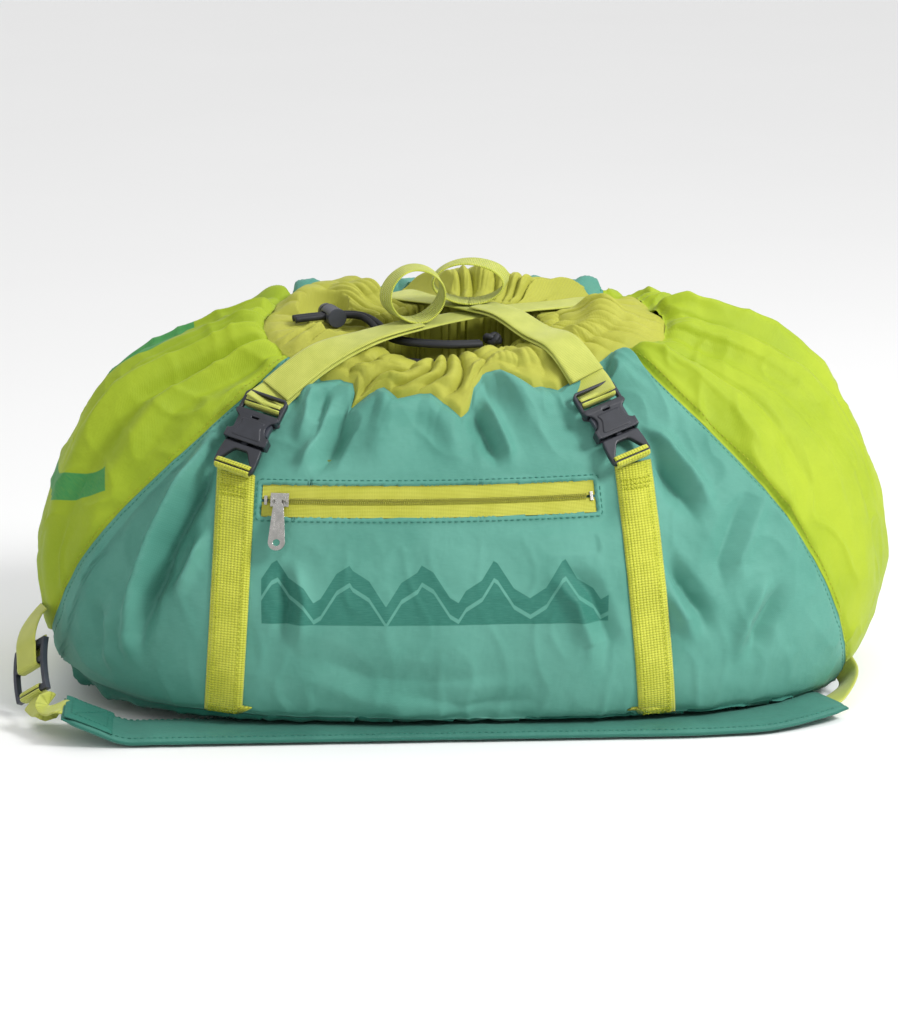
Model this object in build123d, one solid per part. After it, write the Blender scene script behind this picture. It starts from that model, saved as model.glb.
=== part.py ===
"""Stuffed rope storage bag with two buckled straps, a zipped pocket and a padded shoulder strap.

Millimetres. +Z up, the bag's front faces -Y, the base rests on Z = 0.
"""
from build123d import *
import math
import os

os.makedirs("parts", exist_ok=True)

# ---- driving dimensions -------------------------------------------------------------------
FABRIC = 3.0                 # wall of the bag: stuffed fabric with its seam allowance
WEB_WIDTH = 25.0             # all webbing
WEB_THICK = 1.6
LOOP_THICK = 1.2             # webbing drawn tight round a bar
GAP = 0.4                    # air between neighbouring pieces that move
REACH = 400.0                # longer than the bag in every direction

# Rings of the body from the floor to the mouth: height, half width, half depth,
# sideways offset, rearward offset, roundness, and forward lean as a slope.
RINGS = [
    (0.0, 222, 98, 6, 0, 2.6, 0.0),
    (8.6, 246, 122, 6, 0, 2.8, 0.0),
    (11.0, 264, 150, 6, 0, 2.8, 0.0),
    (22.0, 278, 162, 6, 0, 2.8, 0.0),
    (50.0, 289, 168, 7, 0, 2.6, 0.0),
    (90.0, 293, 165, 9, 0, 2.4, 0.0),
    (132.0, 287, 151, 10, 0, 2.3, 0.0),
    (172.0, 270, 132, 11, 0, 2.25, 0.03),
    (208.0, 243, 110, 12, 2, 2.2, 0.07),
    (234.0, 198, 90, 16, 4, 2.1, 0.13),
    (247.0, 160, 76, 12, 4, 2.0, 0.17),
    (250.0, 122, 62, 8, 2, 2.0, 0.19),
    (243.0, 80, 46, 2, 0, 2.0, 0.20),
]
RING_POINTS = 28

MOUTH = (-6.0, 0.0, 62.0, 36.0)          # centre x, y and half axes of the open mouth
COLLAR = (12.0, -2.0, 134.0, 88.0)       # centre x, y and half axes of the collar's seam
COLLAR_FLOOR_Z = 196.0                   # the collar lies above this height
BASE_SEAM_Z = 20.0
PANEL_X = 3.0                            # centre line of the front and back panels
PANEL_EDGE = [(110, 262), (110, 238), (214, 138), (266, 25), (272, -5)]

# Pocket in the front: its zip chain runs on an arc, so the slider turns about a far axis
ZIP_RADIUS = 640.0
ZIP_X = -20.0
ZIP_Y = -139.5
ZIP_Z = 155.0
ZIP_LEAN = 27.0                          # degrees that the front leans back at the zip
ZIP_HALF = 110.0
ZIP_WINDOW = 21.0
CHAIN_HEIGHT = 2.3                       # one row of teeth
CHAIN_GAP = 1.5                          # between the rows, where the slider's post runs
CHAIN_END = 4.5                          # bare tape at each end of the chain
TAPE = 1.2
TAPE_FLOOR = -1.6                        # outward, from the zip's middle surface
TEETH_FLOOR = -2.2
TEETH_TOP = 0.4
STOP_LENGTH = 2.0
STOP_THICK = 2.6
STOP_INSET = 2.5
SLIDER_INSET = 12.0                      # slider's place, from the zip's left end
SLIDER_PLATE = (12.0, 9.0, 1.5)
SLIDER_LEVELS = (-3.7, 1.7)              # middles of the slider's two plates
SLIDER_POST = (3.0, 0.7, 4.4)
SLIDER_POST_X = 4.0
BAIL_POST = (1.4, 3.0, 4.6)
BAIL_POST_LEVEL = 4.3
BAIL_HEIGHT = 5.8                        # pin that the puller swings on, above the chain
BAIL_LENGTH = 8.0
BAIL_RADIUS = 0.7
PULLER_LENGTH = 34.0
PULLER_TIP = 5.6                         # radius of its round end
PULLER_HALF_THICK = 0.9
PULLER_SIDE = [(2.1, -2.6), (3.4, -5.0), (4.0, -10.0), (PULLER_TIP, PULLER_TIP - 0.6 - PULLER_LENGTH)]
POCKET_DEPTH = 92.0                      # below the zip
POCKET_GAP = 10.0                        # lining behind the outer face of the front
POCKET_LINING = 1.0
POCKET_MARGIN = 8.0

# Side release buckles: middle of the bag's surface under them, direction up, and outward
BUCKLE_LIFT = 7.0
BUCKLES = {
    "left": ((-135, -100, 190), (0.433, 0.531, 0.728), (-0.19, -0.74, 0.65)),
    "right": ((101, -107, 195), (-0.436, 0.560, 0.705), (0.10, -0.76, 0.64)),
}
WEB_SLOT_WIDTH = WEB_WIDTH + 1.2
WEB_SLOT = 4.4                           # along the buckle
PLUG_WIDTH = 29.0
PLUG_LENGTH = 19.0
PLUG_MIDDLE = -19.5
PLUG_THICK = 4.4
PLUG_SLOT = -22.6
TONGUE = (4.0, 19.5, 3.4)
TONGUE_MIDDLE = -0.75
CORNER_CUT = 2.0
SOCKET_WIDTH = 31.0
SOCKET_THICK = 9.0
SOCKET_LENGTH = 21.0
SOCKET_MIDDLE = 1.5
SOCKET_EDGE_CUT = 1.6
CAVITY_WIDTH = 26.0
CAVITY_LENGTH = 19.0
CAVITY_THICK = 5.6
SIDE_WINDOW = 10.6                       # where a thumb reaches the arms
SIDE_WINDOW_MIDDLE = 4.0
TOP_WINDOW = (4.6, 11.0, 5.0)
TOP_WINDOW_MIDDLE = 2.5
LADDER_END = 17.0                        # flat end of the socket, with the web slots
LADDER_END_MIDDLE = 20.5
LADDER_END_THICK = 4.6
LADDER_SLOTS = (16.6, 24.6)              # web slots of the socket, along its length
ARM_STEM = (2.6, 16.4)
ARM_STEM_MIDDLE = 9.0                    # from the arm's root
ARM_PAD = (4.2, 9.0)
ARM_PAD_AT = (2.6, 12.0)                 # from the arm's root
ARM_THICK = 4.4
ARM_PIVOT = (7.6, -8.0)                  # where an arm springs from the plug, x and y

# Front webbings, x at the top and at the bottom
LOWER_WEB = {"left": (-146.0, -157.0), "right": (114.0, 130.0)}
LOWER_WEB_TOP = {"left": 166.0, "right": 170.0}
LOWER_WEB_BOTTOM = 24.0

# Upper straps, from the buckle over the mouth to the back: x, y, z and sideways roll in degrees
UPPER_STRAPS = {
    "left": [
        (-120, -83, 215, 30),
        (-90, -66, 234.5, 26),
        (-58, -49, 244, 4),
        (-24, -30, 249, 0),
        (12, -10, 252, 0),
        (50, 11, 254.5, 0),
        (84, 30, 257.5, 0),
        (110, 45, 261.5, 0),
        (138, 60, 256, -10),
    ],
    "right": [
        (88, -86, 223.5, -27),
        (72, -67, 242.4, -15),
        (56, -48, 246.5, -4),
        (38, -26, 254.5, 0),
        (22, -8, 256, 0),
        (4, 12, 257.5, 0),
        (-16, 36, 258.5, 0),
        (-36, 61, 267, -5),
        (-53, 81, 258.5, 24),
    ],
}
TAIL_STATIONS = {"left": 4, "right": 5}
TAIL_LIFT = 2.3
TAIL_NARROWER = 1.0                      # than the strap that it lies on
# loop in each free tail: centre x, y, z, half width, half height, turn in plan
TAIL_LOOPS = {
    "left": (-25.0, -24.0, 270.0, 20.0, 19.0, 12.0),
    "right": (14.0, 3.0, 272.6, 25.0, 14.6, -8.0),
}

# Drawcord, its lock and the two free strands that end in one knot
CORD_D = 4.5
CASING = (8.0, 0.0, 99.0, 54.0)          # centre x, y and half axes of the cord's casing
CASING_Z = 238.0
CASING_LEAN = 0.19
CASING_OUTER = 4.2
STRAND_TURN = 17.35                      # heading of the strands in the lock, degrees
STRAND_SPACING = 5.4
STRAND = [
    (-106, -16.4, 251.6),
    (-96, -13.2, 252.4),
    (-64, -3.2, 252.4),
    (-53, -7, 248.4),
    (-46, -19, 242.6),
    (-38, -33, 240.2),
    (-27, -44, 240.6),
    (-12, -50, 240.6),
    (4, -50.5, 240.2),
    (19, -47, 240),
]
KNOT_AT = (27.5, -44.0, 242.4)
KNOT_RADIUS = 6.4
KNOT_SHAPE = (1.15, 1.0, 0.82)
KNOT_TURN = 15.0
LOCK_AT = (-80.0, -8.2, 252.4)
LOCK_WIDTH = 13.0
LOCK_WALL = 1.5
LOCK_FRONT = -11.0                       # closed end of the barrel, along the lock
LOCK_REAR = 7.0                          # open end, where the button comes out
BUTTON_STEM = 4.6                        # radius inside the barrel
BUTTON_HEAD = 5.7                        # radius of the part that is pressed
BUTTON_END = 15.0
BUTTON_TRAVEL = 3.0
BUTTON_FLOOR = 1.0                       # wall of the button under the strands
SPRING_WIRE = 0.6
SPRING_RADIUS = 3.0
SPRING_TURNS = 3

# Shoulder strap lying on the floor under the front edge
PAD_WIDTH = 45.0
# middle of the pad's underside: x, y, z, from the raised left end to the right end by the bag's corner
PAD_STATIONS = [
    (-262.0, -151.5, 17.0),
    (-222.0, -151.5, 0.0),
    (130.0, -151.5, 0.0),
    (200.0, -146.0, 0.5),
    (250.0, -122.0, 5.0),
]
PAD_THICK = 7.0
PAD_SKIN = 1.0
PAD_ROUND = 2.8
FOAM_INSET = 8.0                         # from the pad's bend and from its right end
PATCH_START = 1.0                        # from the pad's raised end
PATCH_LENGTH = 34.0
PATCH_WIDTH = 38.0
LADDER_AT = ((-286.0, -98.0, 31.0), (-0.05, 0.68, 0.73), (-0.75, -0.48, 0.45))
LADDER_LENGTH = 38.0
LADDER_WIDTH = 32.0
LADDER_THICK = 4.0
LADDER_RADIUS = 90.0
LADDER_BAR = 4.0
END_WEB_WIDTH = 20.0
LADDER_MIDDLE = 3.0
LADDER_OPEN = [(-15.0, 1.0), (5.0, 14.0)]
END_WEB_OVERLAP = 2.5                    # past the pad's raised end
END_WEB_ACROSS = Vector(-0.2, 0.95, 0.1)
GUSSET_ANCHOR = (-284.0, -62.0, 58.0)
GUSSET_ACROSS = Vector(0.2, -0.5, 0.84)
TAB_ANCHOR = (268.0, -88.0, 15.0)
TAB_ACROSS = Vector(-0.5, 0.3, -0.8)
TAB_GAP = 1.6                            # from the pad's right end


def save(node, shape):
    """Write one piece to its own file."""
    shape.label = node
    export_step(shape, f"parts/{node}.step")
    return shape


def box(low, high):
    """Solid box between two corners."""
    size = [b - a for a, b in zip(low, high)]
    centre = [(a + b) / 2 for a, b in zip(low, high)]
    return Pos(*centre) * Box(*size)


def frame_at(origin, along, outward):
    """Local frame whose Y runs along and whose Z points outward."""
    y_dir = Vector(*along).normalized()
    z_dir = Vector(*outward)
    z_dir = (z_dir - y_dir * z_dir.dot(y_dir)).normalized()
    return Plane(origin=origin, x_dir=y_dir.cross(z_dir), z_dir=z_dir)


# ---- the body's surface -------------------------------------------------------------------
def grown_rings(offset):
    """Every ring moved by offset, square to the profile that the rings make."""
    moved = []
    for index, (z, a, b, cx, cy, power, lean) in enumerate(RINGS):
        before = RINGS[max(index - 1, 0)]
        after = RINGS[min(index + 1, len(RINGS) - 1)]
        run_a, run_z = after[1] - before[1], after[0] - before[0]
        length = math.hypot(run_a, run_z)
        out_r, out_z = offset * run_z / length, -offset * run_a / length
        if index == 0:
            out_r, out_z = offset, -min(offset, 0.0)
        moved.append((z + out_z, a + out_r, b + out_r, cx, cy, power, lean))
    return moved


def ring_wire(z, a, b, cx, cy, power, lean):
    """One closed superellipse, leaning forward by the given slope."""
    points = []
    for step in range(RING_POINTS):
        turn = 2 * math.pi * step / RING_POINTS
        across, deep = math.cos(turn), math.sin(turn)
        x = cx + a * math.copysign(abs(across) ** (2 / power), across)
        dy = b * math.copysign(abs(deep) ** (2 / power), deep)
        points.append(Vector(x, cy + dy, z + lean * dy))
    return Wire([Edge.make_spline(points, periodic=True)])


def body(offset):
    """The stuffed body as one solid, grown or shrunk by offset."""
    return Solid.make_loft([ring_wire(*ring) for ring in grown_rings(offset)])


def column(centre_x, centre_y, half_x, half_y, low, high):
    """Upright elliptical column."""
    return extrude(Pos(centre_x, centre_y, low) * Ellipse(half_x, half_y), amount=high - low)


def front_prism(points, from_y, to_y):
    """Prism along Y through an outline of (x, z) points."""
    outline = Polyline(*[(x, from_y, z) for x, z in points], close=True)
    heading = (0, math.copysign(1, to_y - from_y), 0)
    return extrude(make_face(outline), amount=abs(to_y - from_y), dir=heading)


def panel_prism(to_y):
    """Prism of the front or back panel: narrow at the mouth, wide at the floor."""
    def edge(side):
        points = [(PANEL_X + side * x, 0, z) for x, z in PANEL_EDGE]
        return [
            Line(points[0], points[1]),
            ThreePointArc(points[1], points[2], points[3]),
            Line(points[3], points[4]),
        ]
    right, left = edge(1), edge(-1)
    top = Line(left[0] @ 0, right[0] @ 0)
    bottom = Line(left[2] @ 1, right[2] @ 1)
    face = Face(Wire([*right, *left, top, bottom]))
    return extrude(face, amount=REACH, dir=(0, math.copysign(1, to_y), 0))


def make_shell():
    """Panels, base and collar of the bag, cut from one skin."""
    skin = body(0) - body(-FABRIC) - column(*MOUTH, COLLAR_FLOOR_Z, REACH)
    collar_column = column(*COLLAR, COLLAR_FLOOR_Z, REACH)
    below = box((-REACH, -REACH, -1), (REACH, REACH, BASE_SEAM_Z))
    collar = skin & collar_column
    walls = skin - collar_column
    base = walls & below
    walls = walls - below
    front = walls & panel_prism(-1)
    back = walls & panel_prism(1)
    gussets = (walls - panel_prism(-1) - panel_prism(1)).solids().sort_by(Axis.X)
    return collar, base, front, back, gussets[0], gussets[-1]


# ---- zip ----------------------------------------------------------------------------------
def zip_frame(angle=0.0):
    """Frame on the zip's arc, angle degrees to the right: X right, Y up the front, Z outward."""
    turn = math.radians(angle)
    lean = math.radians(ZIP_LEAN)
    origin = (ZIP_X + ZIP_RADIUS * math.sin(turn), ZIP_Y + ZIP_RADIUS * (1 - math.cos(turn)), ZIP_Z)
    outward = Vector(math.sin(turn), -math.cos(turn), 0) * math.cos(lean) + Vector(0, 0, 1) * math.sin(lean)
    return Plane(origin=origin, x_dir=(math.cos(turn), math.sin(turn), 0), z_dir=outward)


def zip_sector(low_y, high_y, low_z, high_z, half_angle):
    """Piece swept along the zip's arc, from a rectangle in the zip's frame."""
    start = zip_frame(-half_angle)
    centre = start.from_local_coords(Vector(0, (low_y + high_y) / 2, (low_z + high_z) / 2))
    profile = Plane(origin=centre, x_dir=start.y_dir, z_dir=start.x_dir)
    rectangle = profile * Rectangle(high_y - low_y, high_z - low_z)
    axis = Axis((ZIP_X, ZIP_Y + ZIP_RADIUS, 0), (0, 0, 1))
    return revolve(rectangle, axis, 2 * half_angle)


def make_zip():
    """Tapes, chain, stops, slider and puller of the pocket zip."""
    half = math.degrees(ZIP_HALF / ZIP_RADIUS)
    chain_half = half - math.degrees(CHAIN_END / ZIP_RADIUS)
    stop_angle = half - math.degrees(STOP_INSET / ZIP_RADIUS)
    low, high = CHAIN_GAP / 2, CHAIN_GAP / 2 + CHAIN_HEIGHT
    edge = ZIP_WINDOW / 2
    save("zip_tape_upper", zip_sector(high, edge, TAPE_FLOOR, TAPE_FLOOR + TAPE, half))
    save("zip_tape_lower", zip_sector(-edge, -high, TAPE_FLOOR, TAPE_FLOOR + TAPE, half))
    save("zip_teeth_upper", zip_sector(low, high, TEETH_FLOOR, TEETH_TOP, chain_half))
    save("zip_teeth_lower", zip_sector(-high, -low, TEETH_FLOOR, TEETH_TOP, chain_half))
    stop = Pos(0, 0, (TEETH_FLOOR + TEETH_TOP) / 2) * Box(STOP_LENGTH, 2 * high - 0.1, STOP_THICK)
    save("zip_end_stops", Compound([zip_frame(side * stop_angle) * stop for side in (-1, 1)]))
    at_slider = zip_frame(-math.degrees((ZIP_HALF - SLIDER_INSET) / ZIP_RADIUS))
    slider = Pos(SLIDER_POST_X, 0, sum(SLIDER_LEVELS) / 2) * Box(*SLIDER_POST)
    for level in SLIDER_LEVELS:
        slider += Pos(0, 0, level) * Box(*SLIDER_PLATE)
    for side in (-1, 1):
        slider += Pos(side * BAIL_LENGTH / 2, 0, BAIL_POST_LEVEL) * Box(*BAIL_POST)
    slider += Pos(0, 0, BAIL_HEIGHT) * Rot(0, 90, 0) * Cylinder(BAIL_RADIUS, BAIL_LENGTH)
    save("zip_slider", at_slider * slider)
    save("zip_puller", at_slider * Pos(0, 0, BAIL_HEIGHT) * puller())


def puller():
    """Puller hanging down from the bail's pin along -Y, its eye round the pin."""
    bore = Rot(0, 90, 0) * Cylinder(BAIL_RADIUS + 0.25, 6.0)
    eye = Pos(0, -0.8, 0) * Box(4.2, 5.0, 2.6) - bore
    outline = Polyline(*PULLER_SIDE, *[(-x, y) for x, y in reversed(PULLER_SIDE)], close=True)
    plate = extrude(make_face(outline), amount=PULLER_HALF_THICK, both=True)
    tip_y = PULLER_SIDE[-1][1]
    plate += Pos(0, tip_y, 0) * Cylinder(PULLER_TIP, 2 * PULLER_HALF_THICK)
    hole = Pos(0, tip_y - 0.4, 0) * Cylinder(2.4, 4.0)
    recess = Pos(0, -15.0, PULLER_HALF_THICK) * Box(4.2, 12.0, 0.8)
    return eye + plate - hole - recess


# ---- buckles ------------------------------------------------------------------------------
def bar_loop(bar_low, bar_high, half_thick, bar_z=0.0):
    """Webbing wrapped once round a bar that lies across, from bar_low to bar_high in Y."""
    inner_y = (bar_high - bar_low) / 2 + GAP
    inner_z = half_thick + GAP
    outer = RectangleRounded(2 * (inner_y + LOOP_THICK), 2 * (inner_z + LOOP_THICK), 1.6)
    inner = RectangleRounded(2 * inner_y, 2 * inner_z, 0.4)
    ring = Plane.YZ * Pos((bar_low + bar_high) / 2, bar_z) * (outer - inner)
    return extrude(ring, amount=WEB_WIDTH / 2, both=True)


def plug_solid():
    """Male half: web bar, slot, shoulders and centre tongue."""
    solid = Pos(0, PLUG_MIDDLE, 0) * Box(PLUG_WIDTH, PLUG_LENGTH, PLUG_THICK)
    solid -= Pos(0, PLUG_SLOT, 0) * Box(WEB_SLOT_WIDTH, WEB_SLOT, 2 * PLUG_THICK)
    solid += Pos(0, TONGUE_MIDDLE, 0) * Box(*TONGUE)
    return chamfer(solid.edges().filter_by(Axis.Z).group_by(Axis.Y)[0], CORNER_CUT)


def arm_solid(side):
    """Springy side arm with its thumb pad, seen in the socket's window."""
    x, y = ARM_PIVOT
    stem = Pos(side * x, y + ARM_STEM_MIDDLE, 0) * Box(*ARM_STEM, ARM_THICK)
    pad = Pos(side * (x + ARM_PAD_AT[0]), y + ARM_PAD_AT[1], 0) * Box(*ARM_PAD, ARM_THICK)
    return stem + pad


def socket_solid():
    """Female half: hollow front with side windows and a three bar ladder behind."""
    solid = Pos(0, SOCKET_MIDDLE, 0) * Box(SOCKET_WIDTH, SOCKET_LENGTH, SOCKET_THICK)
    solid = chamfer(solid.edges().filter_by(Axis.Y), SOCKET_EDGE_CUT)
    ladder = Pos(0, LADDER_END_MIDDLE, 0) * Box(SOCKET_WIDTH, LADDER_END, LADDER_END_THICK)
    solid += chamfer(ladder.edges().filter_by(Axis.Z).group_by(Axis.Y)[-1], CORNER_CUT)
    solid -= Box(CAVITY_WIDTH, CAVITY_LENGTH, CAVITY_THICK)
    solid -= Pos(0, SIDE_WINDOW_MIDDLE, 0) * Box(2 * SOCKET_WIDTH, SIDE_WINDOW, CAVITY_THICK)
    solid -= Pos(0, TOP_WINDOW_MIDDLE, SOCKET_THICK / 2) * Box(*TOP_WINDOW)
    for y in LADDER_SLOTS:
        solid -= Pos(0, y, 0) * Box(WEB_SLOT_WIDTH, WEB_SLOT, 2 * SOCKET_THICK)
    return solid


def make_buckle(side):
    """All pieces of one buckle, with the webbing loops that hold it."""
    middle, along, outward = BUCKLES[side]
    local = frame_at(middle, along, outward)
    lifted = local.from_local_coords((0, 0, BUCKLE_LIFT))
    local = Plane(origin=lifted, x_dir=local.x_dir, z_dir=local.z_dir)
    save(f"{side}_buckle_plug", local * plug_solid())
    save(f"{side}_buckle_inner_arm", local * arm_solid(1 if side == "left" else -1))
    save(f"{side}_buckle_outer_arm", local * arm_solid(-1 if side == "left" else 1))
    save(f"{side}_buckle_socket", local * socket_solid())
    plug_bar = (PLUG_MIDDLE - PLUG_LENGTH / 2, PLUG_SLOT - WEB_SLOT / 2)
    save(f"{side}_plug_web_loop", local * bar_loop(*plug_bar, PLUG_THICK / 2))
    socket_bar = (LADDER_SLOTS[0] + WEB_SLOT / 2, LADDER_SLOTS[1] - WEB_SLOT / 2)
    save(f"{side}_socket_web_loop", local * bar_loop(*socket_bar, LADDER_END_THICK / 2))


# ---- webbing ------------------------------------------------------------------------------
def ruled_strip(stations, width, thick):
    """Flat strip through (point, width direction, run direction) stations."""
    wires = []
    for point, across, run in stations:
        plane = Plane(origin=point, x_dir=across, z_dir=run)
        wires.append((plane * Rectangle(width, thick)).wire())
    return Solid.make_loft(wires, ruled=True)


def strap_stations(stations, lift=0.0):
    """Turn (x, y, z, roll) rows into strip stations whose edges stay level but for the roll."""
    points = [Vector(x, y, z + lift) for x, y, z, _ in stations]
    result = []
    for index, (_, _, _, roll) in enumerate(stations):
        run = (points[min(index + 1, len(points) - 1)] - points[max(index - 1, 0)]).normalized()
        across = run.cross(Vector(0, 0, 1)).normalized()
        across = across.rotate(Axis((0, 0, 0), run), roll)
        result.append((points[index], across, run))
    return result


def make_upper_straps():
    """Straps over the mouth, the free tails on top of them and the loops the tails stand in."""
    for side, rows in UPPER_STRAPS.items():
        save(f"{side}_upper_strap", ruled_strip(strap_stations(rows), WEB_WIDTH, WEB_THICK))
        tail_rows = rows[:TAIL_STATIONS[side]]
        tail = ruled_strip(strap_stations(tail_rows, TAIL_LIFT), WEB_WIDTH - TAIL_NARROWER, WEB_THICK)
        x, y, z, half_x, half_z, turn = TAIL_LOOPS[side]
        ring = Ellipse(half_x, half_z) - Ellipse(half_x - WEB_THICK, half_z - WEB_THICK)
        loop = extrude(ring, amount=WEB_WIDTH / 2 - TAIL_NARROWER, both=True)
        save(f"{side}_strap_tail", tail + Pos(x, y, z) * Rot(0, 0, turn) * Rot(90, 0, 0) * loop)


def make_lower_webbing(side, skin):
    """Webbing sewn down the front, from the buckle to the base seam."""
    top_x, bottom_x = LOWER_WEB[side]
    top, bottom, half = LOWER_WEB_TOP[side], LOWER_WEB_BOTTOM, WEB_WIDTH / 2
    outline = [
        (top_x - half, top), (top_x + half, top),
        (bottom_x + half, bottom), (bottom_x - half, bottom),
    ]
    save(f"{side}_lower_webbing", skin & front_prism(outline, -REACH / 8, -REACH))


# ---- drawcord -----------------------------------------------------------------------------
def cord_tube(points, name):
    """Cord along straight runs joined by the largest arcs that the runs allow."""
    points = [Vector(*p) for p in points]
    radii = []
    for before, here, after in zip(points, points[1:], points[2:]):
        run = min((here - before).length, (after - here).length)
        turn = math.radians((here - before).get_angle(after - here))
        radii.append(0.45 * run / math.tan(turn / 2))
    print(name, "radii", [round(r, 1) for r in radii])
    path = FilletPolyline(*points, radius=radii)
    section = Plane(origin=path @ 0, z_dir=path % 0) * Circle(CORD_D / 2)
    tube = sweep(section, path=path)
    print(name, "length", round(path.length, 1), "volume ratio",
          round(tube.volume / (path.length * math.pi * CORD_D ** 2 / 4), 3))
    return tube


def beside(route, shift):
    """The route's points moved sideways in plan, to the left of its heading by shift."""
    points = [Vector(*p) for p in route]
    moved = []
    for index, point in enumerate(points):
        run = points[min(index + 1, len(points) - 1)] - points[max(index - 1, 0)]
        moved.append(point + Vector(-run.Y, run.X, 0).normalized() * shift)
    return moved


def rod(radius, low, high):
    """Round rod along Y."""
    return Pos(0, (low + high) / 2, 0) * Rot(90, 0, 0) * Cylinder(radius, high - low)


def casing_ring(outer, inner):
    """Ring along the casing's ellipse, leaning forward."""
    centre_x, centre_y, half_x, half_y = CASING
    plane = Plane(origin=(centre_x, centre_y, CASING_Z), x_dir=(1, 0, 0), z_dir=(0, -CASING_LEAN, 1))
    path = (plane * Ellipse(half_x, half_y)).wire()
    section = Plane(origin=path @ 0, z_dir=path % 0) * Circle(outer)
    ring = sweep(section, path=path)
    if inner:
        ring -= sweep(Plane(origin=path @ 0, z_dir=path % 0) * Circle(inner), path=path)
    return ring


def make_drawcord():
    """Casing, the cord inside it, its two free strands, their knot and the cord lock."""
    save("drawcord_casing", casing_ring(CASING_OUTER, CORD_D / 2 + GAP))
    save("drawcord", casing_ring(CORD_D / 2, 0))
    for name, side in (("drawcord_strand_rear", 0.5), ("drawcord_strand_front", -0.5)):
        save(name, cord_tube(beside(STRAND, side * STRAND_SPACING), name))
    knot = scale(Sphere(KNOT_RADIUS), KNOT_SHAPE)
    save("drawcord_knot", Pos(*KNOT_AT) * Rot(0, 0, KNOT_TURN) * knot)
    heading = math.radians(STRAND_TURN)
    lock = Plane(origin=LOCK_AT, x_dir=(math.cos(heading), math.sin(heading), 0), z_dir=(0, 0, 1))
    way_width = STRAND_SPACING + CORD_D + 2 * GAP
    way_height = CORD_D + 2 * GAP
    barrel = rod(LOCK_WIDTH / 2, LOCK_FRONT, LOCK_REAR)
    barrel -= rod(LOCK_WIDTH / 2 - LOCK_WALL, LOCK_FRONT + LOCK_WALL, LOCK_REAR)
    save("cord_lock_body", lock * (barrel - Box(4 * LOCK_WIDTH, way_width, way_height)))
    stem_foot = -way_width / 2 - BUTTON_FLOOR
    button = rod(BUTTON_STEM, stem_foot, LOCK_REAR + BUTTON_TRAVEL + 1.0)
    button += rod(BUTTON_HEAD, LOCK_REAR + BUTTON_TRAVEL + 0.5, BUTTON_END)
    button = chamfer(button.edges().filter_by(GeomType.CIRCLE).group_by(Axis.Y)[-1], 0.8)
    long_way = Box(4 * LOCK_WIDTH, way_width + BUTTON_TRAVEL, way_height)
    save("cord_lock_button", lock * (button - Pos(0, BUTTON_TRAVEL / 2, 0) * long_way))
    spring_low = LOCK_FRONT + LOCK_WALL + SPRING_WIRE
    spring_height = stem_foot - SPRING_WIRE - spring_low
    coil = Helix(pitch=spring_height / SPRING_TURNS, height=spring_height, radius=SPRING_RADIUS)
    wire = sweep(Plane(origin=coil @ 0, z_dir=coil % 0) * Circle(SPRING_WIRE / 2), path=coil)
    save("cord_lock_spring", lock * Pos(0, spring_low, 0) * Rot(-90, 0, 0) * wire)


# ---- shoulder strap -----------------------------------------------------------------------
def pad_solid(stations, width, thick, corner):
    """Stuffed strap through the stations, with rounded edges, its middle at half the pad's thickness."""
    points = [Vector(x, y, z + PAD_THICK / 2) for x, y, z in stations]
    runs = [(after - before).normalized() for before, after in zip(points, points[1:])]
    wires = []
    for index, point in enumerate(points):
        run = runs[max(index - 1, 0)] + runs[min(index, len(runs) - 1)]
        across = Vector(0, 0, 1).cross(run).normalized()
        plane = Plane(origin=point, x_dir=across, z_dir=run.normalized())
        wires.append((plane * RectangleRounded(width, thick, corner)).wire())
    return Solid.make_loft(wires, ruled=True)


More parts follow.
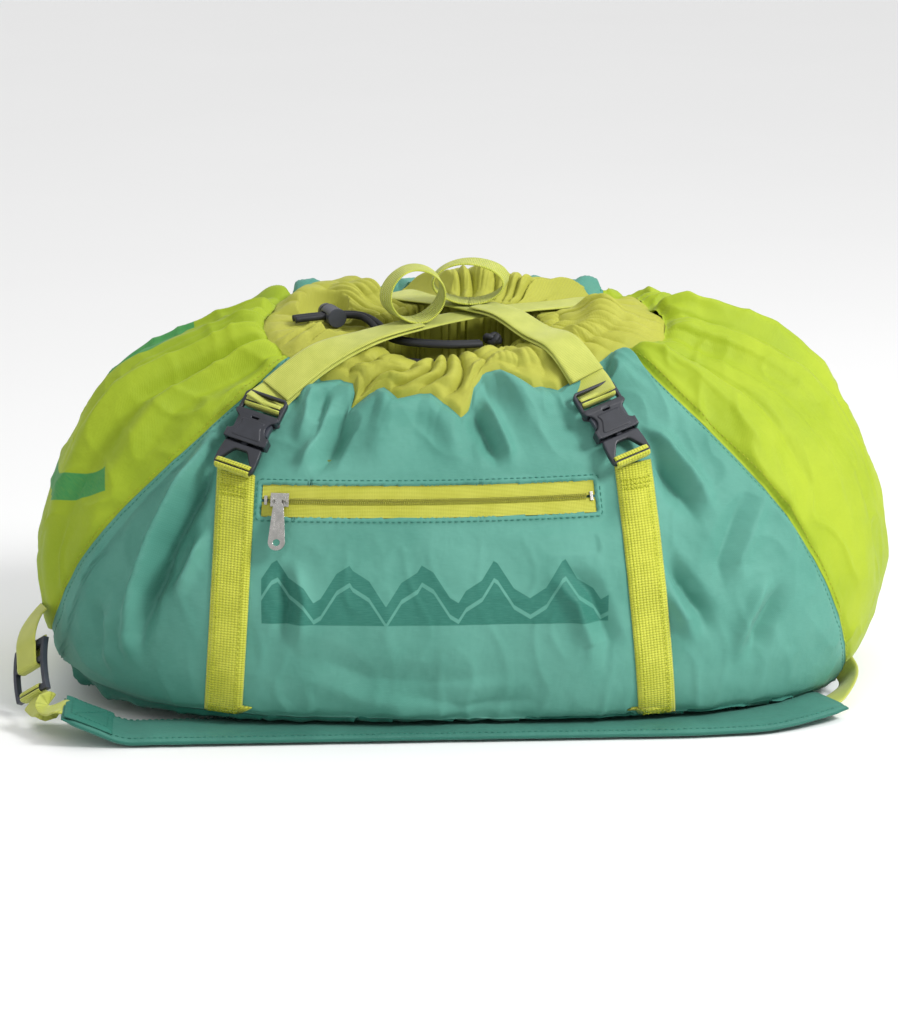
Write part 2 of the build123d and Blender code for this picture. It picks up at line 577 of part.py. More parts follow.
def make_shoulder_strap():
    """Padded strap, its end patch and webbing, the ladder lock and the tab at the right."""
    outer = pad_solid(PAD_STATIONS, PAD_WIDTH, PAD_THICK, PAD_ROUND)
    bend = Vector(*PAD_STATIONS[1])
    last, end = Vector(*PAD_STATIONS[-2]), Vector(*PAD_STATIONS[-1])
    foam_end = end - (end - last).normalized() * FOAM_INSET
    foam_stations = [tuple(bend + Vector(FOAM_INSET, 0, 0)), *PAD_STATIONS[2:-1], tuple(foam_end)]
    foam_thick = PAD_THICK - 2 * PAD_SKIN
    foam = pad_solid(foam_stations, PAD_WIDTH - FOAM_INSET, foam_thick, PAD_ROUND - PAD_SKIN)
    save("shoulder_pad_cover", outer - foam)
    save("shoulder_pad_foam", foam)
    tip = Vector(*PAD_STATIONS[0]) + Vector(0, 0, PAD_THICK / 2)
    down = (Vector(*PAD_STATIONS[1]) - Vector(*PAD_STATIONS[0])).normalized()
    above = down.cross(Vector(0, 1, 0)) * ((PAD_THICK + PAD_SKIN) / 2 + 0.1)
    ends = [(tip + above + down * place, Vector(0, 1, 0), down) for place in (PATCH_START, PATCH_LENGTH)]
    save("shoulder_pad_end_patch", ruled_strip(ends, PATCH_WIDTH, PAD_SKIN))
    local = frame_at(*LADDER_AT)
    save("ladder_lock", local * ladder_lock())
    end_y = -LADDER_LENGTH / 2
    bar_middle = ladder_drop(end_y + LADDER_BAR / 2)
    loop = bar_loop(end_y, end_y + LADDER_BAR, LADDER_THICK / 2 + GAP, bar_middle)
    foot = local.from_local_coords(Vector(0, end_y - GAP - LOOP_THICK / 2, ladder_drop(end_y)))
    pad_end = tip - down * END_WEB_OVERLAP
    stations = [(foot, local.x_dir, -local.y_dir), (pad_end, END_WEB_ACROSS, Vector(1, 0.2, 0))]
    save("strap_end_webbing", local * loop + ruled_strip(stations, END_WEB_WIDTH, WEB_THICK))
    bar = (LADDER_MIDDLE - LADDER_BAR / 2, LADDER_MIDDLE + LADDER_BAR / 2)
    middle_loop = bar_loop(*bar, LADDER_THICK / 2 + GAP / 2, ladder_drop(LADDER_MIDDLE))
    save("gusset_web_loop", local * middle_loop)
    head = local.from_local_coords(Vector(0, LADDER_LENGTH / 2 + 2.0, 3.4))
    anchor = Vector(*GUSSET_ANCHOR)
    stations = [(head, local.x_dir, local.y_dir), (anchor, GUSSET_ACROSS, Vector(0, 1, 0.5))]
    save("gusset_webbing", ruled_strip(stations, END_WEB_WIDTH, WEB_THICK))
    heading = (end - last).normalized()
    tab_from = end + heading * TAB_GAP + Vector(0, 0, PAD_THICK / 2)
    across = Vector(0, 0, 1).cross(heading).normalized()
    stations = [(tab_from, across, heading), (Vector(*TAB_ANCHOR), TAB_ACROSS, Vector(0.4, 0.9, 0))]
    save("right_strap_tab", ruled_strip(stations, END_WEB_WIDTH, WEB_THICK))


def ladder_drop(y):
    """How far the curved ladder lock falls below its middle at a place along it."""
    return math.sqrt(LADDER_RADIUS ** 2 - y ** 2) - LADDER_RADIUS


def ladder_lock():
    """Three bar ladder lock, curved along its length."""
    outer = Circle(LADDER_RADIUS + LADDER_THICK / 2) - Circle(LADDER_RADIUS - LADDER_THICK / 2)
    ring = Plane.YZ * Pos(0, -LADDER_RADIUS) * outer
    solid = extrude(ring, amount=LADDER_WIDTH / 2, both=True)
    solid &= Box(LADDER_WIDTH, LADDER_LENGTH, 4 * LADDER_THICK)
    for low, high in LADDER_OPEN:
        solid -= Pos(0, (low + high) / 2, 0) * Box(WEB_SLOT_WIDTH, high - low, 8 * LADDER_THICK)
    return solid


def main():
    """Write every piece of the bag."""
    collar, base, front, back, left_gusset, right_gusset = make_shell()
    zip_hole = zip_frame() * Pos(0, 0.5, 0) * Box(2 * ZIP_HALF + 1.0, ZIP_WINDOW + 3.0, 24.0)
    save("front_panel", front - zip_hole)
    save("back_panel", back)
    save("left_gusset", left_gusset)
    save("right_gusset", right_gusset)
    save("base_panel", base)
    save("mouth_collar", collar)
    lining_skin = body(-POCKET_GAP) - body(-POCKET_GAP - POCKET_LINING)
    low, high = ZIP_Z - POCKET_DEPTH, ZIP_Z + ZIP_WINDOW
    left, right = ZIP_X - ZIP_HALF - POCKET_MARGIN, ZIP_X + ZIP_HALF + POCKET_MARGIN
    outline = [(left, low), (right, low), (right, high), (left, high)]
    save("pocket_lining", lining_skin & front_prism(outline, -REACH / 8, -REACH))
    make_zip()
    web_skin = body(WEB_THICK + 0.3) - body(0.3)
    for side in ("left", "right"):
        make_lower_webbing(side, web_skin)
        make_buckle(side)
    make_upper_straps()
    make_drawcord()
    make_shoulder_strap()


main()
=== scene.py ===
"""Looks of the rope storage bag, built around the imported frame. Lengths in mm until a mesh is made."""
import math

import bpy
import numpy as np
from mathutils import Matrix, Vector, noise
from mathutils.bvhtree import BVHTree


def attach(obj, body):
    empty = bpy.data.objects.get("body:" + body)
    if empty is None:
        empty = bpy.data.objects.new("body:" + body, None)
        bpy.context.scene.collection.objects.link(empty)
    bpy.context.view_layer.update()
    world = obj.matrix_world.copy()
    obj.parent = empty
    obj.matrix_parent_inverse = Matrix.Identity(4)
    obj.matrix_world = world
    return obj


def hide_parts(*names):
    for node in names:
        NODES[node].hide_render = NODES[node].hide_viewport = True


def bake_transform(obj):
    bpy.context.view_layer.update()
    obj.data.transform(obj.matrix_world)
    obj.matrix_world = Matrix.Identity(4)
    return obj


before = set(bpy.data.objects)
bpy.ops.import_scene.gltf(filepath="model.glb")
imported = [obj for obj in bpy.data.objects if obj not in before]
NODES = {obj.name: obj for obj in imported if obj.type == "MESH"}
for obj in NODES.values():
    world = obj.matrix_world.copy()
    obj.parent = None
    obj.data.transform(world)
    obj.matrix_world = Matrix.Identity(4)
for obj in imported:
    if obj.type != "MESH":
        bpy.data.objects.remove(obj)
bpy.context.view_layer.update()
MM = 0.001
SCENE = bpy.context.scene

# ---- camera, light and floor ----------------------------------------------------------------
LOOK_AT = Vector((0.0, 0.0, 0.1113))
BACK = Vector((-0.0506, -0.9646, 0.2588)).normalized()
camera_data = bpy.data.cameras.new("camera")
camera_data.sensor_fit = "HORIZONTAL"
camera_data.sensor_width = 36.0
camera_data.lens = 144.3
camera = bpy.data.objects.new("camera", camera_data)
camera.location = LOOK_AT + 2.5 * BACK
camera.rotation_euler = BACK.to_track_quat("Z", "Y").to_euler()
SCENE.collection.objects.link(camera)
SCENE.camera = camera
SCENE.view_settings.view_transform = "Standard"

world = bpy.data.worlds.new("studio")
SCENE.world = world
world.use_nodes = True
world.node_tree.nodes["Background"].inputs[0].default_value = (1.0, 1.0, 1.0, 1.0)
world.node_tree.nodes["Background"].inputs[1].default_value = 0.33


def area_light(name, place, target, size, power):
    """Soft rectangular lamp aimed at a point."""
    data = bpy.data.lights.new(name, "AREA")
    data.shape = "RECTANGLE"
    data.size, data.size_y = size
    data.energy = power
    lamp = bpy.data.objects.new(name, data)
    lamp.location = place
    aim = Vector(place) - Vector(target)
    lamp.rotation_euler = aim.to_track_quat("Z", "Y").to_euler()
    SCENE.collection.objects.link(lamp)


area_light("overhead", (0.0, 4.0, 4.4), (0, 4.0, 0.0), (17.0, 18.0), 620.0)
area_light("key", (1.25, -0.85, 1.35), (0.05, 0, 0.12), (0.5, 0.5), 30.0)
area_light("fill", (-1.6, -1.5, 0.6), (0, 0, 0.12), (1.0, 1.0), 2.0)


# ---- materials ------------------------------------------------------------------------------
class Nodes:
    """Small helper that adds and links shader nodes."""

    def __init__(self, name):
        self.material = bpy.data.materials.new(name)
        self.material.use_nodes = True
        self.tree = self.material.node_tree
        self.shader = self.tree.nodes["Principled BSDF"]

    def add(self, kind, **values):
        node = self.tree.nodes.new(kind)
        for key, value in values.items():
            setattr(node, key, value)
        return node

    def link(self, source, target):
        self.tree.links.new(source, target)

    def put(self, value, socket):
        if isinstance(value, bpy.types.NodeSocket):
            self.link(value, socket)
        else:
            socket.default_value = value

    def math(self, operation, a, b=0.0, clamp=False):
        node = self.add("ShaderNodeMath", operation=operation, use_clamp=clamp)
        self.put(a, node.inputs[0])
        if operation not in ("SINE", "COSINE", "ABSOLUTE", "FRACT", "SQRT"):
            self.put(b, node.inputs[1])
        return node.outputs[0]

    def attribute(self, name):
        return self.add("ShaderNodeAttribute", attribute_name=name).outputs["Vector"]

    def split(self, vector):
        node = self.add("ShaderNodeSeparateXYZ")
        self.link(vector, node.inputs[0])
        return node.outputs

    def noise(self, vector, scale, detail=3.0, rough=0.55):
        node = self.add("ShaderNodeTexNoise")
        self.link(vector, node.inputs["Vector"])
        node.inputs["Scale"].default_value = scale
        node.inputs["Detail"].default_value = detail
        node.inputs["Roughness"].default_value = rough
        return node.outputs[0]

    def step(self, value, low, high, out_low=0.0, out_high=1.0):
        node = self.add("ShaderNodeMapRange", interpolation_type="SMOOTHSTEP")
        self.put(value, node.inputs["Value"])
        for key, number in (("From Min", low), ("From Max", high), ("To Min", out_low), ("To Max", out_high)):
            self.put(number, node.inputs[key])
        return node.outputs[0]

    def mix(self, factor, a, b, blend="MIX"):
        node = self.add("ShaderNodeMix", data_type="RGBA", blend_type=blend)
        self.put(factor, node.inputs[0])
        self.put(a, node.inputs[6])
        self.put(b, node.inputs[7])
        return node.outputs[2]

    def bump(self, height, distance, strength=1.0, normal=None):
        node = self.add("ShaderNodeBump")
        node.inputs["Distance"].default_value = distance
        node.inputs["Strength"].default_value = strength
        self.link(height, node.inputs["Height"])
        if normal is not None:
            self.link(normal, node.inputs["Normal"])
        return node.outputs[0]


def rgb(code, gain=1.0):
    """Linear colour of a hex code."""
    parts = [int(code[i:i + 2], 16) / 255 for i in (0, 2, 4)]
    linear = [p / 12.92 if p <= 0.04045 else ((p + 0.055) / 1.055) ** 2.4 for p in parts]
    return (*[min(1.0, v * gain) for v in linear], 1.0)


def weave_height(n, cloth, pitch):
    """Plain weave from two crossed sets of yarns; returns height and its separate coordinates."""
    x, y, _ = n.split(cloth)
    turns = 2 * math.pi / pitch
    across = n.math("SINE", n.math("MULTIPLY", x, turns))
    along = n.math("SINE", n.math("MULTIPLY", y, turns))
    product = n.math("MULTIPLY", across, along)
    ribs = n.math("ADD", n.math("ABSOLUTE", across), n.math("ABSOLUTE", along))
    return n.math("ADD", n.math("MULTIPLY", product, 0.5), n.math("MULTIPLY", ribs, 0.35)), (x, y)


def fabric(name, base, dark, light, prints=None, pitch=0.0011, sheen=0.07, rough=0.62, weave=0.00012):
    """Woven polyester: yarns, slubs, slow fading, painted shade in the weave's low parts, small wrinkles in
    the bump; prints adds inks.
    """
    n = Nodes(name)
    cloth = n.attribute("cloth")
    rest = n.attribute("rest")
    height, (x, y) = weave_height(n, cloth, pitch)
    stretched = n.add("ShaderNodeMapping")
    n.link(cloth, stretched.inputs["Vector"])
    stretched.inputs["Scale"].default_value = (1.0, 14.0, 1.0)
    slub = n.noise(stretched.outputs[0], 160.0, 3.0)
    cloudy = n.noise(rest, 14.0, 4.0)
    speck = n.noise(cloth, 900.0, 2.0)
    tone = n.mix(n.step(cloudy, 0.3, 0.7), rgb(dark), rgb(light))
    colour = n.mix(0.5, rgb(base), tone)
    if prints:
        colour = prints(n, colour, rest)
    # painted shade: the cloth is mixed toward black, most in the weave's low parts between the yarns
    colour = n.mix(n.step(height, -0.3, 0.9, 0.0, 0.5), n.mix(0.34, colour, rgb("000000"), "MIX"), colour)
    colour = n.mix(n.step(slub, 0.35, 0.75, 0.0, 0.12), colour, rgb(light), "MIX")
    colour = n.mix(n.step(speck, 0.62, 0.8, 0.0, 0.16), colour, rgb(dark), "MIX")
    n.link(colour, n.shader.inputs["Base Color"])
    n.link(n.step(cloudy, 0.25, 0.75, rough - 0.07, rough + 0.08), n.shader.inputs["Roughness"])
    n.shader.inputs["Sheen Weight"].default_value = sheen
    n.shader.inputs["Sheen Roughness"].default_value = 0.4
    n.shader.inputs["Specular IOR Level"].default_value = 0.35
    crumple = n.noise(rest, 130.0, 4.0, 0.5)
    fine = n.bump(height, weave, 0.8)
    n.link(n.bump(crumple, 0.0011, 0.6, fine), n.shader.inputs["Normal"])
    return n.material


def ridge_print(n, colour, rest):
    """Generic mountain ridge in a darker tone across the front, between the webbings."""
    x, y, z = n.split(rest)
    peaks = n.math("PINGPONG", n.math("ADD", x, 0.1435), 0.0235)
    small = n.math("PINGPONG", n.math("ADD", x, 0.134), 0.0105)
    ridge = n.math("ADD", n.math("MULTIPLY", peaks, 1.05), n.math("MULTIPLY", small, 0.45))
    top = n.math("SUBTRACT", n.math("SUBTRACT", z, 0.0905), ridge)
    body = n.math("MULTIPLY", n.step(top, -0.0003, 0.0003, 1.0, 0.0), n.step(z, 0.0785, 0.0791))
    second = n.math("ADD", top, 0.0105)
    gap = n.math("MULTIPLY", n.step(second, -0.0003, 0.0003, 1.0, 0.0), n.step(second, -0.0031, -0.0025))
    inside = n.math("MULTIPLY", n.step(x, -0.1305, -0.1299), n.step(x, 0.0959, 0.0965, 1.0, 0.0))
    front = n.step(y, -0.04, -0.03, 1.0, 0.0)
    printed = n.math("MULTIPLY", body, n.math("SUBTRACT", 1.0, gap))
    mask = n.math("MULTIPLY", printed, n.math("MULTIPLY", inside, front))
    return n.mix(mask, colour, rgb("2F7F6E"))


def disc_and_band(n, colour, rest):
    """Plain disc and plain band of green ink on the left gusset."""
    offset = n.add("ShaderNodeVectorMath", operation="DISTANCE")
    n.link(rest, offset.inputs[0])
    offset.inputs[1].default_value = (-0.206, 0.036, 0.226)
    disc = n.step(offset.outputs["Value"], 0.0365, 0.0371, 1.0, 0.0)
    x, y, z = n.split(rest)
    slope = n.math("MULTIPLY", n.math("ADD", x, 0.255), 0.45)
    height = n.math("SUBTRACT", n.math("SUBTRACT", z, 0.1465), slope)
    band = n.step(n.math("ABSOLUTE", height), 0.0068, 0.0074, 1.0, 0.0)
    ends = n.math("MULTIPLY", n.step(y, 0.03, 0.0306, 1.0, 0.0), n.step(x, -0.2326, -0.232, 1.0, 0.0))
    band = n.math("MULTIPLY", band, ends)
    return n.mix(n.math("MAXIMUM", disc, band), colour, rgb("3E9C54"))


def webbing(name, base, dark, light, rib=0.0017, column=0.0031, grooves=0.7, depth=0.00035):
    """Ribbed webbing: weft ribs across, warp columns along, with painted shade making it darker in the
    grooves.
    """
    n = Nodes(name)
    cloth = n.attribute("cloth")
    x, y, _ = n.split(cloth)
    ribs = n.math("ABSOLUTE", n.math("SINE", n.math("MULTIPLY", y, math.pi / rib)))
    columns = n.math("ABSOLUTE", n.math("SINE", n.math("MULTIPLY", x, math.pi / column)))
    height = n.math("ADD", ribs, n.math("MULTIPLY", columns, grooves))
    slow = n.noise(cloth, 60.0, 4.0)
    fuzz = n.noise(cloth, 1500.0, 2.0)
    colour = n.mix(n.step(slow, 0.3, 0.7), rgb(base), rgb(light))
    # painted shade: the grooves between ribs and columns are mixed toward the dark colour
    colour = n.mix(n.step(height, 0.25, 0.95, 0.62, 0.0), colour, rgb(dark))
    colour = n.mix(n.step(fuzz, 0.6, 0.8, 0.0, 0.18), colour, rgb(light))
    n.link(colour, n.shader.inputs["Base Color"])
    n.link(n.step(slow, 0.2, 0.8, 0.5, 0.68), n.shader.inputs["Roughness"])
    n.shader.inputs["Sheen Weight"].default_value = 0.2
    n.link(n.bump(height, depth, 0.9), n.shader.inputs["Normal"])
    return n.material


def plastic(name, base, rough=0.36):
    """Moulded acetal: fine spark texture and edges a little paler where the mesh is pointy."""
    n = Nodes(name)
    place = n.add("ShaderNodeTexCoord").outputs["Object"]
    grain = n.noise(place, 2600.0, 2.0)
    slow = n.noise(place, 70.0, 3.0)
    colour = n.mix(n.step(slow, 0.3, 0.7), rgb(base), rgb(base, 1.5))
    edge = n.add("ShaderNodeNewGeometry").outputs["Pointiness"]
    colour = n.mix(n.step(edge, 0.53, 0.62, 0.0, 0.35), colour, rgb(base, 5.0))
    n.link(colour, n.shader.inputs["Base Color"])
    n.link(n.step(grain, 0.3, 0.7, rough - 0.06, rough + 0.1), n.shader.inputs["Roughness"])
    bevel = n.add("ShaderNodeBevel", samples=4)
    bevel.inputs["Radius"].default_value = 0.0007
    n.link(n.bump(grain, 0.00006, 0.6, bevel.outputs[0]), n.shader.inputs["Normal"])
    return n.material


def metal(name, base, rough):
    """Plated metal with faint brushing and smudges."""
    n = Nodes(name)
    place = n.add("ShaderNodeTexCoord").outputs["Object"]
    smudge = n.noise(place, 220.0, 4.0)
    n.link(n.mix(n.step(smudge, 0.35, 0.7), rgb(base), rgb(base, 0.7)), n.shader.inputs["Base Color"])
    n.link(n.step(smudge, 0.3, 0.7, rough, rough + 0.16), n.shader.inputs["Roughness"])
    n.shader.inputs["Metallic"].default_value = 1.0
    bevel = n.add("ShaderNodeBevel", samples=4)
    bevel.inputs["Radius"].default_value = 0.0003
    n.link(n.bump(n.noise(place, 1800.0, 2.0), 0.00003, 0.5, bevel.outputs[0]), n.shader.inputs["Normal"])
    return n.material


def thread(name, base):
    """Twisted thread or braid, with a soft grain."""
    n = Nodes(name)
    place = n.add("ShaderNodeTexCoord").outputs["Object"]
    grain = n.noise(place, 1400.0, 3.0)
    n.link(n.mix(n.step(grain, 0.35, 0.7), rgb(base, 0.7), rgb(base, 1.35)), n.shader.inputs["Base Color"])
    n.link(n.step(grain, 0.3, 0.7, 0.5, 0.72), n.shader.inputs["Roughness"])
    n.link(n.bump(grain, 0.0001, 0.6), n.shader.inputs["Normal"])
    return n.material


TEAL = fabric("teal_fabric", "5FA896", "4C9684", "73B7A6", ridge_print)
BACK_TEAL = fabric("back_fabric", "5FA896", "4C9684", "73B7A6")
PLAIN_TEAL = fabric("pad_fabric", "45897A", "367567", "559A89")
LIME = fabric("lime_fabric", "AFC61E", "9AB40F", "C0D334")
# left gusset: the right gusset's lime cloth with all its tones set darker as painted shade, plus the printed
# disc and band
PRINTED_LIME_PAINTED_SHADE = fabric("printed_lime_fabric_painted_shade", "ABC41D", "93AE0D", "BCD032", disc_and_band)
OLIVE = fabric("olive_fabric", "C3C647", "AFB136", "D2D15E")
DARK_TEAL = fabric("dark_teal_fabric", "2F7F6E", "276C5E", "3A8D7B")
LINING = fabric("lining_fabric", "8E9B3A", "7B8830", "9AA847")
# webbings and zip tape: base colour, then the dark colour painted in the grooves as shade, then the light
# colour
YELLOW_WEB = webbing("yellow_webbing", "B9BD26", "7E8410", "C9CC3C", 0.0017, 0.0021, 0.9, 0.00045)
TAPE = webbing("zip_tape", "B7B732", "8E8F1E", "C3C346", 0.0009, 0.0011, 0.4, 0.0002)
OLIVE_WEB = webbing("olive_webbing", "B3BA48", "8D9430", "C4C95C", 0.0011, 0.0013, 0.3, 0.00018)
LOOP_WEB = webbing("ribbed_webbing", "BCC63C", "8A9420", "CDD355", 0.0012, 0.0042, 1.5, 0.0005)
BLACK = plastic("black_plastic", "23252C")
NICKEL = metal("nickel", "D6D4CF", 0.2)
STEEL = metal("spring_steel", "9C9EA3", 0.25)
CORD_BLACK = thread("black_cord", "1C1E24")
TEAL_THREAD = thread("teal_thread", "2A7565")
YELLOW_THREAD = thread("yellow_thread", "A8AE1E")
COIL = thread("zip_coil", "A7A63C")


# ---- mesh building --------------------------------------------------------------------------
def unit(vectors):
    """Vectors of length one, along the last axis."""
    return vectors / np.linalg.norm(vectors, axis=-1, keepdims=True)


def run_lengths(line):
    """Distance passed at every point of a line."""
    return np.concatenate([[0], np.cumsum(np.linalg.norm(np.diff(line, axis=0), axis=1))])


def softened(line):
    """Every inner point or row drawn halfway to the mean of its neighbours."""
    result = line.copy()
    result[1:-1] = 0.25 * line[:-2] + 0.5 * line[1:-1] + 0.25 * line[2:]
    return result


def end_caps(rows, columns):
    """Faces that close the first and the last ring of a tube."""
    return [list(range(columns))[::-1], [(rows - 1) * columns + k for k in range(columns)]]


def add_object(name, vertices, faces, material, cloth=None, rest=None, body="bag", smooth=True):
    """Mesh object from mm coordinates, riding on a body."""
    mesh = bpy.data.meshes.new(name)
    mesh.from_pydata((np.asarray(vertices) * MM).tolist(), [], faces)
    mesh.validate()
    mesh.materials.append(material)
    if smooth:
        mesh.polygons.foreach_set("use_smooth", [True] * len(mesh.polygons))
    for key, values in (("cloth", cloth), ("rest", rest)):
        if values is not None:
            layer = mesh.attributes.new(key, "FLOAT_VECTOR", "POINT")
            layer.data.foreach_set("vector", (np.asarray(values) * MM).astype(np.float32).ravel())
    item = bpy.data.objects.new(name, mesh)
    SCENE.collection.objects.link(item)
    if body:
        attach(item, body)
    return item


def grid_faces(rows, columns, wrap=False, start=0, flip=False):
    """Quads of a rows by columns grid of points."""
    index = start + np.arange(rows * columns).reshape(rows, columns)
    if wrap:
        index = np.concatenate([index, index[:, :1]], axis=1)
    a, b, c, d = index[:-1, :-1], index[:-1, 1:], index[1:, 1:], index[1:, :-1]
    quads = np.stack([a, b, c, d] if not flip else [a, d, c, b], axis=-1)
    return quads.reshape(-1, 4).tolist()


def grid_normals(points, wrap=False):
    """Unit normals of a grid of points, from its own slopes."""
    if wrap:
        padded = np.concatenate([points[:, -1:], points, points[:, :1]], axis=1)
        across = (padded[:, 2:] - padded[:, :-2])
    else:
        across = np.gradient(points, axis=1)
    along = np.gradient(points, axis=0)
    normal = np.cross(across, along)
    return normal / (np.linalg.norm(normal, axis=2, keepdims=True) + 1e-12)


def arc_lengths(points):
    """Distance along the rows and along the columns of a grid, as cloth coordinates."""
    across = np.linalg.norm(np.diff(points, axis=1), axis=2)
    along = np.linalg.norm(np.diff(points, axis=0), axis=2)
    u = np.concatenate([np.zeros((len(points), 1)), np.cumsum(across, axis=1)], axis=1)
    u -= u[:, u.shape[1] // 2][:, None]
    v = np.concatenate([np.zeros((1, points.shape[1])), np.cumsum(along, axis=0)], axis=0)
    return np.stack([u, v, np.zeros_like(u)], axis=2)


def shell_object(name, points, rest, material, thick, wrap=False, cloth=None, body="bag"):
    """Closed sheet of cloth: the grid, the same grid inside it, and the rims between them."""
    rows, columns = points.shape[:2]
    inner = points - grid_normals(points, wrap) * thick
    cloth = arc_lengths(rest) if cloth is None else cloth
    count = rows * columns
    faces = grid_faces(rows, columns, wrap)
    faces += grid_faces(rows, columns, wrap, count, flip=True)
    index = np.arange(count).reshape(rows, columns)
    if wrap:
        loop_index = np.concatenate([index, index[:, :1]], axis=1)
        edges = [loop_index[0][::-1], loop_index[-1]]
    else:
        edges = [index[0][::-1], index[-1], index[:, 0], index[:, -1][::-1]]
    for edge in edges:
        faces += [[int(a), int(a) + count, int(b) + count, int(b)] for a, b in zip(edge[:-1], edge[1:])]
    vertices = np.concatenate([points.reshape(-1, 3), inner.reshape(-1, 3)])
    return add_object(
        name, vertices, faces, material,
        np.concatenate([cloth.reshape(-1, 3)] * 2), np.concatenate([rest.reshape(-1, 3)] * 2), body)


def smooth_step(value, low, high):
    """0 below low, 1 above high, smooth between."""
    part = np.clip((value - low) / (high - low), 0.0, 1.0)
    return part * part * (3 - 2 * part)


def lumps(points, scale, seed):
    """Smooth noise at every point, about -1 to 1."""
    flat = points.reshape(-1, 3) / scale + seed * 17.3
    values = [noise.noise(p) for p in flat.tolist()]
    return np.array(values).reshape(points.shape[:-1])


# ---- the stuffed body's form ----------------------------------------------------------------
# rings from the floor to the mouth: height, half axes, offsets, roundness and forward lean, as in the CAD
RINGS = np.array([
    (0.0, 222, 98, 6, 0, 2.6, 0.0), (8.6, 246, 122, 6, 0, 2.8, 0.0), (11.0, 264, 150, 6, 0, 2.8, 0.0),
    (22.0, 278, 162, 6, 0, 2.8, 0.0), (50.0, 289, 168, 7, 0, 2.6, 0.0), (90.0, 293, 165, 9, 0, 2.4, 0.0),
    (132.0, 287, 151, 10, 0, 2.3, 0.0), (172.0, 270, 132, 11, 0, 2.25, 0.03),
    (208.0, 243, 110, 12, 2, 2.2, 0.07), (234.0, 198, 90, 16, 4, 2.1, 0.13),
    (247.0, 160, 76, 12, 4, 2.0, 0.17), (250.0, 122, 62, 8, 2, 2.0, 0.19), (243.0, 80, 46, 2, 0, 2.0, 0.20)])
LAST = len(RINGS) - 1
COLLAR = (12.0, -2.0, 134.0, 88.0)
PANEL_X = 3.0
PANEL_EDGE = np.array([(-5, 272), (25, 266), (138, 214), (238, 110), (262, 110)], float)
SEAM_Z = 18.0
BUCKLES = {
    "left": ((-135, -100, 190), (0.433, 0.531, 0.728), (-0.19, -0.74, 0.65)),
    "right": ((101, -107, 195), (-0.436, 0.560, 0.705), (0.10, -0.76, 0.64)),
}
BUCKLE_LIFT = 7.0
UPPER_STRAPS = {
    "left": [
        (-120, -83, 215, 30), (-90, -66, 234.5, 26), (-58, -49, 244, 4), (-24, -30, 249, 0),
        (12, -10, 252, 0), (50, 11, 252, 0), (80, 29, 250.5, 0), (104, 43, 250, 0), (126, 55, 247, -10)],
    "right": [
        (88, -86, 223.5, -27), (72, -67, 242.4, -15), (56, -48, 246.5, -4), (38, -26, 254.5, 0),
        (22, -8, 256, 0), (4, 12, 256, 0), (-16, 36, 254, 0), (-34, 59, 253, -5), (-48, 76, 248, 20)],
}
TAIL_STATIONS = {"left": 4, "right": 5}
TAIL_LIFT = 2.3
TAIL_LOOPS = {"left": (-25.0, -24.0, 270.0, 20.0, 19.0, 12.0), "right": (14.0, 3.0, 272.6, 25.0, 14.6, -8.0)}
STRAND = [
    (-106, -16.4, 251.6), (-96, -13.2, 252.4), (-64, -3.2, 252.4), (-53, -7, 248.4), (-46, -19, 242.6),
    (-38, -33, 240.2), (-27, -44, 240.6), (-12, -50, 240.6), (4, -50.5, 240.2), (19, -47, 240)]
STRAND_SPACING = 5.4
CORD_D = 4.5
KNOT_AT = (27.5, -44.0, 242.4)
KNOT_TURN = 0.26
LOCK_AT = (-80.0, -8.2, 252.4)
LOCK_HEADING = 17.35
ZIP_RADIUS = 640.0
ZIP_X, ZIP_Y, ZIP_Z = -20.0, -139.5, 155.0
ZIP_LEAN, ZIP_HALF, ZIP_WINDOW = 27.0, 110.0, 21.0


def ring_at(t):
    """Ring values at a place between the rings, by a smooth curve through them."""
    t = np.clip(t, 0.0, LAST)
    k = np.minimum(t.astype(int), LAST - 1)
    f = (t - k)[..., None]
    p0, p1 = RINGS[np.maximum(k - 1, 0)], RINGS[k]
    p2, p3 = RINGS[k + 1], RINGS[np.minimum(k + 2, LAST)]
    m1, m2 = (p2 - p0) / 2, (p3 - p1) / 2
    f2, f3 = f * f, f * f * f
    return (2 * f3 - 3 * f2 + 1) * p1 + (f3 - 2 * f2 + f) * m1 + (-2 * f3 + 3 * f2) * p2 + (f3 - f2) * m2


def place(theta, t):
    """Point of the form at an angle and a place between the rings."""
    z, a, b, cx, cy, power, lean = np.moveaxis(ring_at(t), -1, 0)
    c, s = np.cos(theta), np.sin(theta)
    dx = a * np.sign(c) * np.abs(c) ** (2 / power)
    dy = b * np.sign(s) * np.abs(s) ** (2 / power)
    return np.stack([cx + dx, cy + dy, z + lean * dy], axis=-1)


def normal_at(theta, t):
    """Outward unit normal of the form."""
    z, a, b, cx, cy, power, lean = np.moveaxis(ring_at(t), -1, 0)
    c, s = np.cos(theta), np.sin(theta)
    nx = np.sign(c) * np.abs(c) ** (2 * (power - 1) / power) / a
    ny = np.sign(s) * np.abs(s) ** (2 * (power - 1) / power) / b
    run = np.stack([-ny, nx, lean * nx], axis=-1)
    rise = place(theta, np.minimum(t + 0.03, LAST)) - place(theta, np.maximum(t - 0.03, 0.0))
    normal = np.cross(run, rise)
    return normal / (np.linalg.norm(normal, axis=-1, keepdims=True) + 1e-12)


def angle_of(x, t, side):
    """Angle at which ring t passes a given x, on the front (-1) or the back (1)."""
    z, a, b, cx, cy, power, lean = np.moveaxis(ring_at(t), -1, 0)
    part = np.clip(np.abs(x - cx) / a, 0, 1) ** (power / 2)
    c = np.sign(x - cx) * part
    return np.arctan2(side * np.sqrt(np.clip(1 - c * c, 0, 1)), c)


